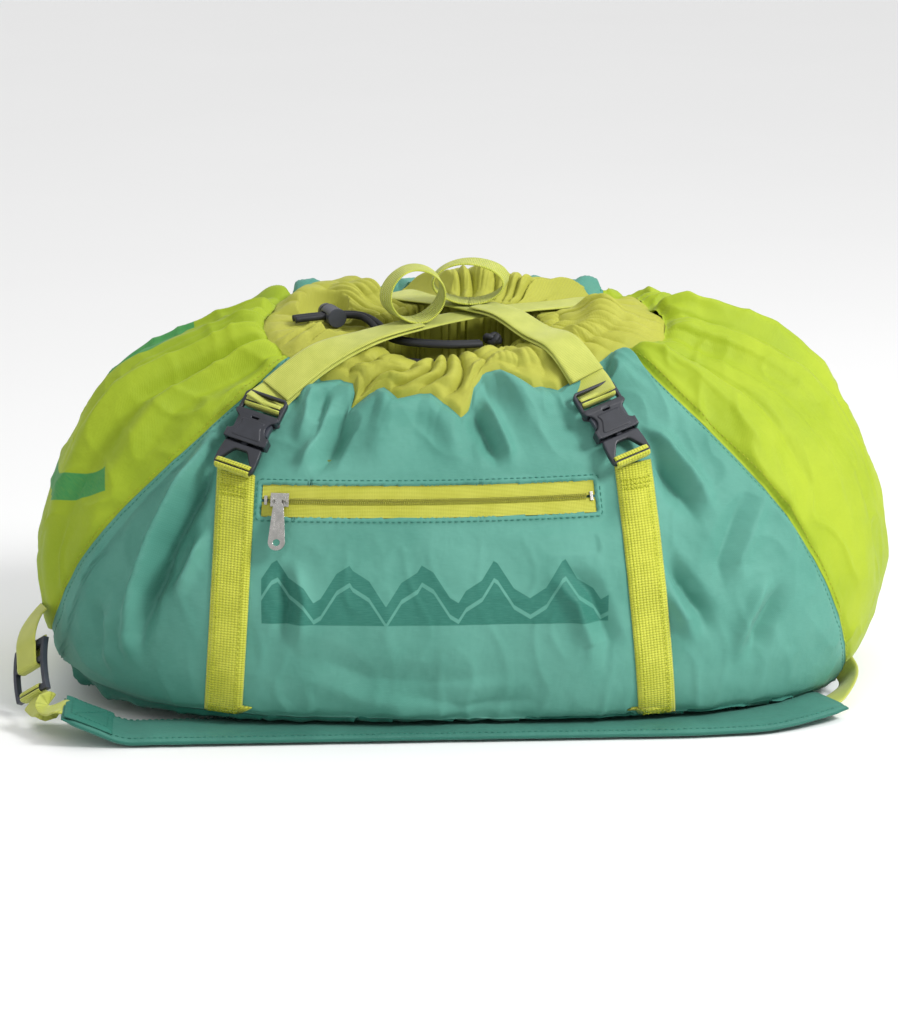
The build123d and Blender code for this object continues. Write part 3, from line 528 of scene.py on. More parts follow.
def panel_half_width(z):
    """Half width of the front and back panels at a height: straight, curved, straight."""
    (z0, w0), (z1, w1), (z2, w2), (z3, w3), _ = PANEL_EDGE
    curve = (w1 * (z - z2) * (z - z3) / ((z1 - z2) * (z1 - z3))
             + w2 * (z - z1) * (z - z3) / ((z2 - z1) * (z2 - z3))
             + w3 * (z - z1) * (z - z2) / ((z3 - z1) * (z3 - z2)))
    low = w0 + (z - z0) * (w1 - w0) / (z1 - z0)
    return np.where(z < z1, low, np.where(z > z3, w3, curve))


# the front reaches further on the left: heights and the added width there
LEFT_REACH = ([-5, 25, 60, 100, 138, 190, 238], [20, 17, 18, 19, 16, 6, 0])


def panel_angle(u, t, side):
    """Angle of panel column u (-1 left to 1 right) on ring t, on the front or the back."""
    z = ring_at(t)[..., 0]
    for _ in range(6):
        reach = panel_half_width(z) + np.where((u < 0) & (side < 0), np.interp(z, *LEFT_REACH), 0.0)
        theta = angle_of(PANEL_X + u * reach, t, side)
        z = place(theta, t)[..., 2]
    return theta


def solve_t(angle_for, low, high, test):
    """Place between the rings where test turns from false to true, for every column."""
    low, high = np.full(angle_for(0.0).shape, low), np.full(angle_for(0.0).shape, high)
    for _ in range(26):
        middle = (low + high) / 2
        beyond = test(place(angle_for(middle), middle))
        high = np.where(beyond, middle, high)
        low = np.where(beyond, low, middle)
    return (low + high) / 2


# the collar's seam: angle in the collar's ellipse and share of that ellipse; deep notches at the front
SEAM_SHARE = np.array([
    (-180, 1.03), (-170, 1.05), (-160, 1.07), (-147, 1.07), (-141, 1.10), (-132, 1.11), (-128, 1.07),
    (-124, 1.07), (-121.5, 1.13), (-120, 1.22), (-118, 1.10), (-115.5, 1.04), (-110, 1.10), (-105, 1.04),
    (-102, 1.03), (-97, 1.10), (-93.5, 1.17), (-91.5, 1.10), (-90, 0.97), (-87, 0.88), (-81, 0.87),
    (-77, 0.94), (-73, 1.02), (-70, 1.02), (-67, 1.07), (-60, 1.03), (-52, 0.99), (-43, 0.96), (-33, 1.0),
    (-22, 1.05), (-13, 1.03), (0, 1.0), (8, 0.95), (19, 0.97), (40, 1.02), (60, 0.98), (80, 1.03),
    (100, 0.98), (118, 1.04), (135, 0.99), (145, 1.06), (156, 1.04), (168, 1.0), (180, 1.03)])
# the mouth's rim in the same terms
RIM_SHARE = np.array([
    (-180, 0.50), (-155, 0.60), (-144, 0.70), (-135, 0.80), (-127, 0.86), (-118, 0.88), (-109, 0.85),
    (-101, 0.80), (-93, 0.77), (-84, 0.70), (-76, 0.62), (-60, 0.56), (-40, 0.51), (0, 0.47), (90, 0.43),
    (150, 0.46), (180, 0.50)])


def collar_angle(points):
    """Angle in the collar's ellipse, degrees."""
    x, y, half_x, half_y = COLLAR
    return np.degrees(np.arctan2((points[..., 1] - y) / half_y, (points[..., 0] - x) / half_x))


def in_collar(points):
    """True where a point lies inside the collar's seam."""
    x, y, half_x, half_y = COLLAR
    share = np.interp(collar_angle(points), SEAM_SHARE[:, 0], SEAM_SHARE[:, 1])
    return ((points[..., 0] - x) / half_x) ** 2 + ((points[..., 1] - y) / half_y) ** 2 < share ** 2


def top_height(x, y):
    """Height of the form's upper side above a place in plan."""
    low, high = np.full(x.shape, 6.0), np.full(x.shape, float(LAST))
    for _ in range(22):
        middle = (low + high) / 2
        _, a, b, cx, cy, power, _ = np.moveaxis(ring_at(middle), -1, 0)
        outside = np.abs((x - cx) / a) ** power + np.abs((y - cy) / b) ** power > 1
        high = np.where(outside, middle, high)
        low = np.where(outside, low, middle)
    z, a, b, cx, cy, power, lean = np.moveaxis(ring_at((low + high) / 2), -1, 0)
    share = np.sqrt(np.abs((x - cx) / a) ** power + np.abs((y - cy) / b) ** power)
    return z + lean * (y - cy) - 12.0 * np.clip(1 - share, 0, 1)


def even_rows(angle_for, t_low, t_high, rows):
    """Angles and ring places of a grid whose rows are evenly spaced along each column."""
    dense = np.linspace(0, 1, 160)[:, None]
    t = t_low + (t_high - t_low) * dense
    points = place(angle_for(t), t)
    steps = np.linalg.norm(np.diff(points, axis=0), axis=2)
    length = np.concatenate([np.zeros((1, t.shape[1])), np.cumsum(steps, axis=0)])
    wanted = np.linspace(0, 1, rows)
    columns = [np.interp(wanted * length[-1, k], length[:, k], t[:, k]) for k in range(t.shape[1])]
    t = np.stack(columns, axis=1)
    return angle_for(t), t, length[-1]


# ---- folds ----------------------------------------------------------------------------------
rng = np.random.default_rng(7)
PLEATS = 46
pleat_angles = np.sort((np.arange(PLEATS) + rng.uniform(-0.3, 0.3, PLEATS)) * 2 * math.pi / PLEATS - math.pi)
pleat_phase = np.pi * np.arange(PLEATS + 1)
pleat_knots = np.append(pleat_angles, pleat_angles[0] + 2 * math.pi)


def pleat(theta):
    """Rounded crests between sharp valleys round the collar, about -0.6 to 0.4."""
    turned = (theta - pleat_angles[0]) % (2 * math.pi) + pleat_angles[0]
    phase = np.interp(turned, pleat_knots, pleat_phase)
    size = 0.75 + 0.35 * np.sin(3.1 * np.cos(theta) + 5.3 * np.sin(2 * theta))
    return size * (np.abs(np.sin(phase)) ** 0.62 - 0.6)


# gathered folds below the collar: angle in degrees, depth, length, drift in degrees, width
GATHERS = [
    (-126, 4.5, 70, -3, 9), (-121, 6.5, 90, -4, 8), (-108, 4.0, 60, 0, 8), (-99, 3.5, 45, 2, 7),
    (-90, 7.0, 60, 4, 7), (-79, 4.0, 55, 3, 8), (-68, 5.0, 80, 4, 9), (-140, 4.0, 160, -4, 12),
    (-152, 6.5, 230, -7, 13), (-161, 5.0, 200, -9, 12), (-168, 6.0, 240, -5, 14), (-176, 4.5, 210, 2, 13),
    (175, 6.0, 230, 4, 14), (167, 4.5, 180, 6, 12), (158, 5.5, 210, 6, 13), (149, 4.0, 150, 5, 12),
    (-50, 5.0, 120, 3, 11), (-41, 6.5, 210, 5, 13), (-33, 4.5, 190, 6, 12), (-25, 6.0, 240, 7, 14),
    (-16, 5.0, 220, 5, 13), (-8, 6.5, 240, 3, 14), (1, 4.5, 210, -2, 13), (10, 6.0, 230, -4, 14),
    (19, 4.5, 200, -5, 12), (28, 5.5, 200, -6, 13), (38, 4.5, 150, -4, 12), (55, 5.0, 90, -3, 9),
    (70, 6.0, 120, -2, 10), (84, 4.5, 80, 1, 9), (97, 6.0, 110, 2, 9), (110, 4.5, 90, 3, 9),
    (124, 5.5, 130, 4, 10), (137, 4.0, 110, 5, 11)]

# long creases on the front: depth, half width, slant, then x and z of its run
CREASES = [
    (8.5, 5.5, 1.0, [(-140, 196), (-158, 176), (-176, 150), (-192, 122), (-204, 92), (-210, 64), (-209, 38)]),
    (7.0, 7.0, -0.6, [(-112, 232), (-130, 213), (-150, 190), (-166, 166)]),
    (5.0, 5.0, -0.8, [(-172, 140), (-184, 114), (-197, 88)]),
    (3.0, 5.0, 0.8, [(-222, 80), (-226, 56), (-222, 36)]),
    (5.5, 6.0, 0.9, [(-70, 214), (-79, 194), (-95, 168), (-99, 150)]),
    (4.5, 6.0, -0.9, [(7, 216), (16, 200), (24, 182), (26, 168)]),
    (3.5, 6.0, 0.8, [(-86, 220), (-90, 198), (-99, 180)]),
    (5.5, 7.0, -1.0, [(110, 190), (128, 178), (150, 152), (160, 132)]),
    (5.5, 7.0, 0.9, [(122, 130), (140, 106), (157, 82), (166, 60)]),
    (2.6, 8.0, -0.8, [(196, 162), (184, 140), (171, 112), (176, 84)]),
    (1.4, 9.0, 0.7, [(-110, 62), (-60, 44), (-10, 40), (40, 50)]),
    (4.0, 7.0, 0.8, [(216, 98), (198, 68), (190, 40)]),
    (3.2, 8.0, -0.7, [(-242, 88), (-236, 60), (-240, 36)]),
    (3.2, 7.0, 0.8, [(60, 122), (84, 98), (96, 66), (92, 40)]),
    (3.2, 6.0, -0.8, [(-120, 120), (-112, 92), (-118, 60)]),
    (1.6, 7.0, 0.6, [(-60, 36), (0, 26), (70, 30)]),
]

# lines that the sewn webbings hold smooth: x and z at the top and the bottom
SEWN_DOWN = [((-146, 172), (-157, 12)), ((115, 176), (130, 10))]


def line_distance(points, line):
    """Signed sideways distance to a run of points in a plane, and the part of its length passed."""
    line = np.array(line, float)
    steps = np.linalg.norm(np.diff(line, axis=0), axis=1)
    total = steps.sum()
    best = np.full(points.shape[:-1], 1e9)
    signed = np.zeros_like(best)
    part = np.zeros_like(best)
    passed = 0.0
    for start, end, step in zip(line[:-1], line[1:], steps):
        run = (end - start) / step
        away = points - start
        along = np.clip(away @ run, 0, step)
        foot = start + along[..., None] * run
        apart = np.linalg.norm(points - foot, axis=-1)
        side = np.sign(away[..., 0] * run[1] - away[..., 1] * run[0])
        closer = apart < best
        best = np.where(closer, apart, best)
        signed = np.where(closer, side * apart, signed)
        part = np.where(closer, (passed + along) / total, part)
        passed += step
    return signed, part


def fold_profile(s, slant):
    """Sharp valley with a raised lip; slant makes one side of it steep."""
    lopsided = np.abs(s) * (1 + 0.4 * slant * np.sign(s))
    valley = -np.exp(-1.25 * lopsided ** 1.25)
    lip = 0.62 * np.exp(-(np.abs(np.abs(s) - 1.6) / 0.75) ** 1.6) * (1 + 0.75 * slant * np.sign(s))
    return valley + lip


def pleat_free(theta):
    """1 between the deep notches of the front seam and 0 at them."""
    apart = np.ones_like(theta)
    for notch in (-119.5, -93.5):
        x = 12 + 134 * 1.15 * math.cos(math.radians(notch))
        y = -2 + 88 * 1.15 * math.sin(math.radians(notch))
        away = (theta - math.atan2(y, x * 0.6) + math.pi) % (2 * math.pi) - math.pi
        apart = np.minimum(apart, smooth_step(np.abs(away), 0.02, 0.14))
    return apart


def relief(points, theta, radius, edge, top, bottom, creased):
    """Height of the cloth above the form: seams drawn in, folds, lumps and small wrinkles."""
    height = -2.6 * np.exp(-(edge / 4.0) ** 2) - 1.3 * np.exp(-edge / 13.0)
    height += -2.4 * np.exp(-(top / 4.5) ** 2)
    height += -2.0 * np.exp(-(bottom / 4.0) ** 2) - 1.2 * np.exp(-bottom / 10.0)
    height += 3.4 * pleat(theta) * np.exp(-top / 20.0)
    for degrees, depth, length, drift, width in GATHERS:
        centre = math.radians(degrees) + math.radians(drift) * top / length
        apart = (theta - centre + math.pi) % (2 * math.pi) - math.pi
        side_gain = 1.9 if abs(degrees) > 140 or abs(degrees) < 45 else 1.15
        spread = 1.15 * side_gain ** 0.6 * width * (0.55 + 0.9 * np.clip(top / length, 0, 1.6))
        fade = np.exp(-(top / length) ** 2 * 1.6) * (0.55 + 0.45 * smooth_step(top, 0, 25))
        fold = fold_profile(apart * radius / spread, 0.8 * math.sin(degrees * 3.7))
        height += 1.05 * side_gain * depth * fade * fold
    crossing = np.zeros(points.shape[:-1])
    if creased:
        plan = points[..., [0, 2]]
        for line in SEWN_DOWN:
            signed, _ = line_distance(plan, line)
            crossing = np.maximum(crossing, 1 - smooth_step(np.abs(signed), 11.0, 22.0))
        for depth, width, slant, line in CREASES:
            signed, part = line_distance(plan, line)
            fade = smooth_step(part, 0.0, 0.34) * (1 - smooth_step(part, 0.6, 1.0))
            height += 1.9 * depth * fade * fold_profile(signed / width, slant) * (1 - 0.85 * crossing)
    height += 3.6 * lumps(points, 74.0, 1) + 1.6 * lumps(points, 33.0, 2)
    bend = np.stack([lumps(points, 40.0, 5), lumps(points, 40.0, 6), lumps(points, 40.0, 7)], axis=-1)
    ridge = 1 - np.abs(lumps(points * np.array([1.0, 1.0, 0.5]) + 11.0 * bend, 24.0, 3)) * 3.2
    near_seam = 0.45 + 0.55 * np.exp(-np.minimum(np.minimum(edge, top), bottom) / 45.0)
    crumple = 1.5 if creased else 2.4
    small = crumple * np.clip(ridge, 0, 1) ** 1.6 + 0.4 * lumps(points, 9.0, 4)
    height += small * near_seam * (1 - 0.9 * crossing)
    puff = np.exp(-((top - 13.0) / 11.0) ** 2) * (1 if creased else 0.4)
    height += 6.5 * puff * np.clip(pleat_free(theta), 0, 1)
    fade_in = smooth_step(np.minimum(np.minimum(edge, top), bottom), 0, 5.0)
    return height * (0.35 + 0.65 * fade_in) - 1.6 * (1 - fade_in)


# ---- the bag settles under what lies on it ----------------------------------------------------
def buckle_frame(side):
    """Origin and axes of a buckle: across, along, outward."""
    middle, along, outward = (np.array(v, float) for v in BUCKLES[side])
    along = unit(along)
    outward = unit(outward - along * (outward @ along))
    return middle, np.cross(along, outward), along, outward


def press_down(points, line, half_width, drop, soft=7.0):
    """Points under a line of (x, y, z) are kept below it by drop."""
    line = np.array(line, float)[:, :3]
    signed, part = line_distance(points[..., :2], line[:, :2])
    steps = run_lengths(line[:, :2])
    ceiling = np.interp(part * steps[-1], steps, line[:, 2]) - drop
    ends = np.minimum(part, 1 - part) * steps[-1]
    beside = np.clip(np.abs(signed) - half_width, 0, None)
    ceiling += np.where(beside > 0, (beside / soft) ** 2 * 5.0, 0)
    ceiling += np.where(ends <= 0, 0.5 * beside, 0)
    limited = np.where(beside < 2.4 * soft, np.minimum(points[..., 2], ceiling), points[..., 2])
    result = points.copy()
    result[..., 2] = limited
    return result


def settle(points):
    """Cloth is held below the straps, the buckles, the cord and its lock."""
    for rows in UPPER_STRAPS.values():
        points = press_down(points, rows, 13.0, 2.4)
    points = press_down(points, STRAND, 5.2, CORD_D / 2 + 0.9, 4.0)
    heading = math.radians(LOCK_HEADING + 90)
    way = np.array([math.cos(heading), math.sin(heading), 0.0])
    lock_line = [LOCK_AT + d * way for d in (-13, 17)]
    points = press_down(points, lock_line, 13.0, 7.4, 4.0)
    knot_line = [KNOT_AT + side * np.array([7.0, 1.0, 0.0]) for side in (-1, 1)]
    points = press_down(points, knot_line, 6.0, 6.6, 4.0)
    for side in BUCKLES:
        middle, across, along, outward = buckle_frame(side)
        away = points - middle
        x, y, z = away @ across, away @ along, away @ outward
        outside = np.hypot(np.clip(np.abs(x) - 17, 0, None), np.clip(np.abs(y - 10) - 40, 0, None))
        ceiling = 1.6 + (outside / 6.0) ** 2 * 3.0
        excess = np.where((outside < 14) & (np.abs(z) < 30), np.clip(z - ceiling, 0, None), 0)
        points = points - excess[..., None] * outward
    return points


# ---- zip's place in the front -------------------------------------------------------------
def zip_local(points):
    """Along, up and outward coordinates in the zip's curved frame."""
    centre_y = ZIP_Y + ZIP_RADIUS
    dx, dy = points[..., 0] - ZIP_X, points[..., 1] - centre_y
    angle = np.arctan2(dx, -dy)
    radial = np.hypot(dx, dy) - ZIP_RADIUS
    rise = points[..., 2] - ZIP_Z
    lean = math.radians(ZIP_LEAN)
    outward = radial * math.cos(lean) + rise * math.sin(lean)
    up = rise * math.cos(lean) - radial * math.sin(lean)
    return np.stack([angle * ZIP_RADIUS, up, outward], axis=-1)


def zip_point(along, up, outward):
    """Inverse of zip_local."""
    lean = math.radians(ZIP_LEAN)
    radial = outward * math.cos(lean) - up * math.sin(lean)
    rise = up * math.cos(lean) + outward * math.sin(lean)
    angle = along / ZIP_RADIUS
    reach = ZIP_RADIUS + radial
    x = ZIP_X + reach * np.sin(angle)
    y = ZIP_Y + ZIP_RADIUS - reach * np.cos(angle)
    return np.stack([x, y, ZIP_Z + rise], axis=-1)


def fit_to_zip(points):
    """Front cloth eased onto the zip's arc, folded down into its window."""
    local = zip_local(points)
    along, up, outward = np.moveaxis(local, -1, 0)
    past_x = np.clip(np.abs(along) - ZIP_HALF, 0, None)
    past = np.hypot(past_x, np.clip(np.abs(up) - ZIP_WINDOW / 2, 0, None))
    ease = 1 - smooth_step(past, 6.0, 26.0)
    level = 1.3 * np.exp(-((past - 1.8) / 2.2) ** 2) + 0.35 * outward * smooth_step(past, 4, 20)
    inside = np.minimum(ZIP_HALF + 0.5 - np.abs(along), ZIP_WINDOW / 2 + 0.2 - np.abs(up))
    level = np.where(inside > 0, -3.0, level)
    outward = outward * (1 - ease) + level * ease
    beyond = smooth_step(-up, 38, 50) + smooth_step(up, -2, 10)
    beyond += smooth_step(np.abs(along), ZIP_HALF - 4, ZIP_HALF + 10)
    outward = np.minimum(outward, 3.8 + 20.0 * beyond)
    return zip_point(along, up, outward)


# ---- panels ---------------------------------------------------------------------------------
# height of the front's lower seam: x, then z
FRONT_SEAM = (
    [-285, -262, -250, -208, -116, 44, 197, 255, 275, 290],
    [27, 26, 22, 14.5, 11.5, 8.6, 8.4, 9.6, 14, 20])


def sag(points):
    """The front's lower seam sinks onto the shoulder pad and rises to pointed corners."""
    x, y, z = np.moveaxis(points, -1, 0)
    target = np.interp(x, *FRONT_SEAM)
    forward = smooth_step(-y, 25, 85)
    fall = np.exp(-np.clip(z - SEAM_Z, 0, None) / 16.0) * smooth_step(z, 2, 14)
    moved = points.copy()
    moved[..., 2] = z + (target - SEAM_Z) * forward * fall
    return moved


def finish_points(theta, t, edge, top, bottom, creased=False):
    """Place, raise by the folds, sag and settle one grid of the bag."""
    base = place(theta, t)
    normal = normal_at(theta, t)
    radius = np.hypot(base[..., 0] - 8.0, (base[..., 1]) * 1.6)
    height = relief(base, theta, np.maximum(radius, 60.0), edge, top, bottom, creased)
    points = sag(base + height[..., None] * normal)
    points = settle(points)
    points[..., 2] = np.maximum(points[..., 2], 0.4)
    return base, points


def seam_t(theta_or_function):
    """Ring place of the lower seam for every column."""
    return solve_t(theta_or_function, 1.0, 6.0, lambda p: p[..., 2] > SEAM_Z)


def panel(side, columns, rows):
    """Grid of the front (-1) or back (1) panel."""
    u = np.linspace(-1, 1, columns)

    def angle_for(t):
        t = np.broadcast_to(np.asarray(t, float), np.broadcast_shapes(np.shape(t), u.shape))
        return panel_angle(u, t, side)

    t_low = seam_t(angle_for)
    t_high = solve_t(angle_for, 6.0, float(LAST), in_collar)
    theta, t, length = even_rows(angle_for, t_low, t_high, rows)
    down = (1 - np.linspace(0, 1, rows)[:, None]) * length
    up = length - down
    edge = (1 - np.abs(u)) * panel_half_width(place(theta, t)[..., 2])
    base, points = finish_points(theta, t, edge, down, up, creased=side < 0)
    if side < 0:
        points = fit_to_zip(points)
    return base, points, theta, t


def gusset(side, columns, rows):
    """Grid of the left (-1) or right (1) gusset, from its front seam to its back seam."""
    v = np.linspace(0, 1, columns)

    def angle_for(t):
        t = np.broadcast_to(np.asarray(t, float), np.broadcast_shapes(np.shape(t), v.shape))
        front = panel_angle(np.full(v.shape, float(side)), t, -1)
        back = panel_angle(np.full(v.shape, float(side)), t, 1)
        if side < 0:
            front = front % (2 * math.pi)
            return front + (back % (2 * math.pi) - front) * v
        return front + (back - front) * v

    t_low = seam_t(angle_for)
    t_high = solve_t(angle_for, 6.0, float(LAST), in_collar)
    theta, t, length = even_rows(angle_for, t_low, t_high, rows)
    down = (1 - np.linspace(0, 1, rows)[:, None]) * length
    base0 = place(theta, t)
    across = arc_lengths(base0)[..., 0]
    edge = np.minimum(across - across[:, :1], across[:, -1:] - across)
    theta = (theta + math.pi) % (2 * math.pi) - math.pi
    base, points = finish_points(theta, t, edge, down, length - down)
    return base, points, theta, t


def bag_shell(name, grid, material, slot, *nodes, thick=1.1, flip=False, wrap=False):
    """One sewn panel from its grid."""
    base, points = grid[0], grid[1]
    if flip:
        base, points = base[:, ::-1], points[:, ::-1]
    item = shell_object(name, points, base, material, thick, wrap)
    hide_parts(*nodes)
    return item


front_grid = panel(-1, 300, 170)
bag_shell("front_cloth", front_grid, TEAL, "teal_fabric", "front_panel")
back_grid = panel(1, 220, 130)
bag_shell("back_cloth", back_grid, BACK_TEAL, "teal_fabric", "back_panel", flip=True)
left_grid = gusset(-1, 170, 190)
bag_shell("left_gusset_cloth", left_grid, PRINTED_LIME_PAINTED_SHADE, "lime_fabric", "left_gusset", flip=True)
right_grid = gusset(1, 170, 190)
bag_shell("right_gusset_cloth", right_grid, LIME, "lime_fabric", "right_gusset")


def base_grid(columns, rows):
    """The base: its raised rim up to the lower seam, and the flat underside."""
    theta = np.linspace(-math.pi, math.pi, columns, endpoint=False)

    def angle_for(t):
        return np.broadcast_to(theta, np.broadcast_shapes(np.shape(t), theta.shape))

    t_high = seam_t(angle_for)
    angles, t, length = even_rows(angle_for, np.full(columns, 0.02), t_high, rows)
    down = (1 - np.linspace(0, 1, rows)[:, None]) * length
    far = np.full(angles.shape, 200.0)
    base, points = finish_points(angles, t, far, far, down)
    points[..., 2] = np.where(points[..., 2] < 9.0, np.maximum(base[..., 2], 0.4), points[..., 2])
    shrink = np.linspace(0.06, 0.985, 26)[:, None, None]
    centre = np.array([6.0, 0.0, 0.0])
    flat = centre + (points[0] - centre) * shrink
    flat[..., 2] = 0.5 + 0.35 * (1 + lumps(flat, 40.0, 9)) * (1 - shrink[..., 0] ** 6)
    flat_base = centre + (base[0] - centre) * shrink
    return np.concatenate([flat_base, base]), np.concatenate([flat, points])


bag_shell("base_cloth", base_grid(520, 44), DARK_TEAL, "dark_teal_fabric", "base_panel", wrap=True)


# ---- collar, gathered on the drawcord ----------------------------------------------------------
INNER_ROWS = 21                 # of the collar, down inside the mouth
INNER_DEPTH = 46.0
# swellings of the collar between the straps: x, y, radius, height
SWELLINGS = [(96, -6, 24, 9), (118, -22, 20, 5), (-72, 36, 26, 9), (-102, 20, 18, 6), (-36, 50, 20, 7),
             (20, 60, 28, 5), (-98, -38, 16, 3), (100, 46, 18, 3), (72, -30, 14, 4)]


def collar_grid(columns, outer_rows):
    """Collar from under its seam up over the casing to the mouth's rim, in over a ledge and down inside."""
    degrees = np.linspace(-180, 180, columns, endpoint=False)
    turn = np.radians(degrees)
    seam = np.interp(degrees, SEAM_SHARE[:, 0], SEAM_SHARE[:, 1]) + 0.035
    rim = np.interp(degrees, RIM_SHARE[:, 0], RIM_SHARE[:, 1], period=360)
    q = np.linspace(0, 1, outer_rows)[:, None]
    share = seam + (rim - seam) * q
    centre_x, centre_y, half_x, half_y = COLLAR
    x = centre_x + half_x * share * np.cos(turn)
    y = centre_y + half_y * share * np.sin(turn)
    front = np.exp(-((degrees + 104) / 34.0) ** 2)
    base = np.stack([x, y, top_height(x, y)], axis=2)
    normal = grid_normals(base, wrap=True)
    from_seam = np.abs(seam - share) * half_y - 3.2
    theta = turn
    wide = 1 - 0.72 * front
    ridge = wide * (6.0 * np.exp(-((q - 0.60) / 0.16) ** 2) + 3.0 * np.exp(-((q - 0.93) / 0.10) ** 2))
    size = 2.6 + 4.6 * smooth_step(q, 0.1, 0.6) + 2.4 * np.exp(-((q - 0.60) / 0.12) ** 2)
    twist = 0.06 * np.sin(3 * theta + 4 * q) + 0.04 * q * np.sin(11 * theta)
    shirring = 1.3 * np.abs(np.sin(theta * 58 + 2 * np.sin(9 * theta)))
    shirring = shirring * np.exp(-((q - 0.60) / 0.17) ** 2) * wide
    height = ridge + size * pleat(theta + twist) + shirring - 1.6 * np.exp(-((q - 0.42) / 0.05) ** 2) * wide
    height += 2.6 * lumps(base, 26.0, 11) * smooth_step(from_seam, 0, 12) + 0.8 * lumps(base, 9.0, 12)
    for bump_x, bump_y, radius, rise in SWELLINGS:
        swelling = np.exp(-((x - bump_x) ** 2 + (y - bump_y) ** 2) / radius ** 2)
        height += rise * swelling * smooth_step(from_seam, 0, 10)
    height -= 5.0 * front * smooth_step(q, 0.1, 0.8)
    height = height * smooth_step(from_seam, -1, 7) - 3.0 * (1 - smooth_step(from_seam, -2, 5))
    height -= 5.0 * (1 - smooth_step(from_seam, -3.0, -0.6))
    outer = base + height[..., None] * normal
    edge = outer[-1]
    middle = np.array([-4.0, -6.0])
    inner_rows, inner_rest = [], []
    for step in range(1, INNER_ROWS + 1):
        part = step / INNER_ROWS
        row = edge.copy()
        shrink = 1 - (0.13 + 0.17 * front) * smooth_step(part, 0, 0.4) - 0.04 * part
        ripple = 1 + 0.045 * pleat(theta + 0.05) * (1 - 0.4 * part)
        row[:, :2] = middle + (edge[:, :2] - middle) * (shrink * ripple)[:, None]
        row[:, 2] = edge[:, 2] + 2.6 * math.sin(min(1.0, part * 3.4) * math.pi)
        row[:, 2] -= INNER_DEPTH * smooth_step(part, 0.3, 1.15)
        inner_rows.append(row)
        rest = base[-1].copy()
        rest[:, 2] -= INNER_DEPTH * part
        inner_rest.append(rest)
    points = np.concatenate([outer, np.array(inner_rows)])
    return np.concatenate([base, np.array(inner_rest)]), settle(points)


bag_shell("collar_cloth", collar_grid(1100, 64), OLIVE, "olive_fabric", "mouth_collar", "drawcord_casing",
          thick=0.9, wrap=True)
NODES["drawcord"].data.materials.clear()
NODES["drawcord"].data.materials.append(CORD_BLACK)


# ---- strips, tubes and stitches ---------------------------------------------------------------
def strip_object(name, centre, across, width, thick, material, body="bag"):
    """Webbing along centre points: across directions, rounded edges, closed ends."""
    centre, across = np.asarray(centre, float), np.asarray(across, float)
    run = unit(np.gradient(centre, axis=0))
    across = unit(across - run * np.sum(across * run, axis=1, keepdims=True))
    up = np.cross(across, run)
    lanes = 13
    top = [(-1 + 2 * k / (lanes - 1), 1.0 if 0 < k < lanes - 1 else 0.55) for k in range(lanes)]
    outline = np.array([*top, (1.012, 0.0), *[(-x, -y) for x, y in top], (-1.012, 0.0)])
    rings, cloth = [], []
    length = run_lengths(centre)
    for k in range(len(centre)):
        side = outline[:, 0] * width / 2
        rise = outline[:, 1] * thick / 2
        rings.append(centre[k] + side[:, None] * across[k] + rise[:, None] * up[k])
        cloth.append(np.stack([side, np.full(len(side), length[k]), rise * 0], axis=1))
    rings, cloth = np.array(rings), np.array(cloth)
    rows, columns = rings.shape[:2]
    faces = grid_faces(rows, columns, wrap=True) + end_caps(rows, columns)
    corners = rings.reshape(-1, 3)
    item = add_object(name, corners, faces, material, cloth.reshape(-1, 3), corners, body)
    return item


def smooth_line(points, count, passes=2):
    """Evenly spaced points on a smooth curve through the given ones."""
    points = np.asarray(points, float)
    index = np.linspace(0, len(points) - 1, count * 4)
    k = np.minimum(index.astype(int), len(points) - 2)
    f = (index - k)[:, None]
    p0, p1 = points[np.maximum(k - 1, 0)], points[k]
    p2, p3 = points[k + 1], points[np.minimum(k + 2, len(points) - 1)]
    m1, m2 = (p2 - p0) / 2, (p3 - p1) / 2
    line = (2 * f ** 3 - 3 * f ** 2 + 1) * p1 + (f ** 3 - 2 * f ** 2 + f) * m1
    line += (-2 * f ** 3 + 3 * f ** 2) * p2 + (f ** 3 - f ** 2) * m2
    length = run_lengths(line[:, :3])
    wanted = np.linspace(0, length[-1], count)
    line = np.stack([np.interp(wanted, length, line[:, c]) for c in range(line.shape[1])], axis=1)
    for _ in range(passes):
        line = softened(line)
    return line


def tube_points(path, radius, sides=12, shape=None):
    """Vertices and faces of a closed tube along path points, in mm."""
    path = np.asarray(path, float)
    run = unit(np.gradient(path, axis=0))
    side = np.cross(run[0], [0.0, 0.0, 1.0])
    if np.linalg.norm(side) < 0.1:
        side = np.cross(run[0], [0.0, 1.0, 0.0])
    sides_turn = np.linspace(0, 2 * math.pi, sides, endpoint=False)
    rings = []
    passed = 0.0
    for k in range(len(path)):
        side = unit(side - run[k] * (side @ run[k]))
        other = np.cross(run[k], side)
        if k:
            passed += np.linalg.norm(path[k] - path[k - 1])
        local = radius if np.isscalar(radius) else radius[k]
        spread = local * (1 if shape is None else shape(sides_turn, passed))
        turned = (np.cos(sides_turn) * spread)[:, None] * side + (np.sin(sides_turn) * spread)[:, None] * other
        rings.append(path[k] + turned)
    faces = grid_faces(len(path), sides, wrap=True) + end_caps(len(path), sides)
    return np.array(rings).reshape(-1, 3), faces


def joined(parts):
    """Vertices and faces of several pieces as one mesh."""
    vertices, faces, start = [], [], 0
    for part_vertices, part_faces in parts:
        vertices.append(part_vertices)
        faces += [[i + start for i in face] for face in part_faces]
        start += len(part_vertices)
    return np.concatenate(vertices), faces


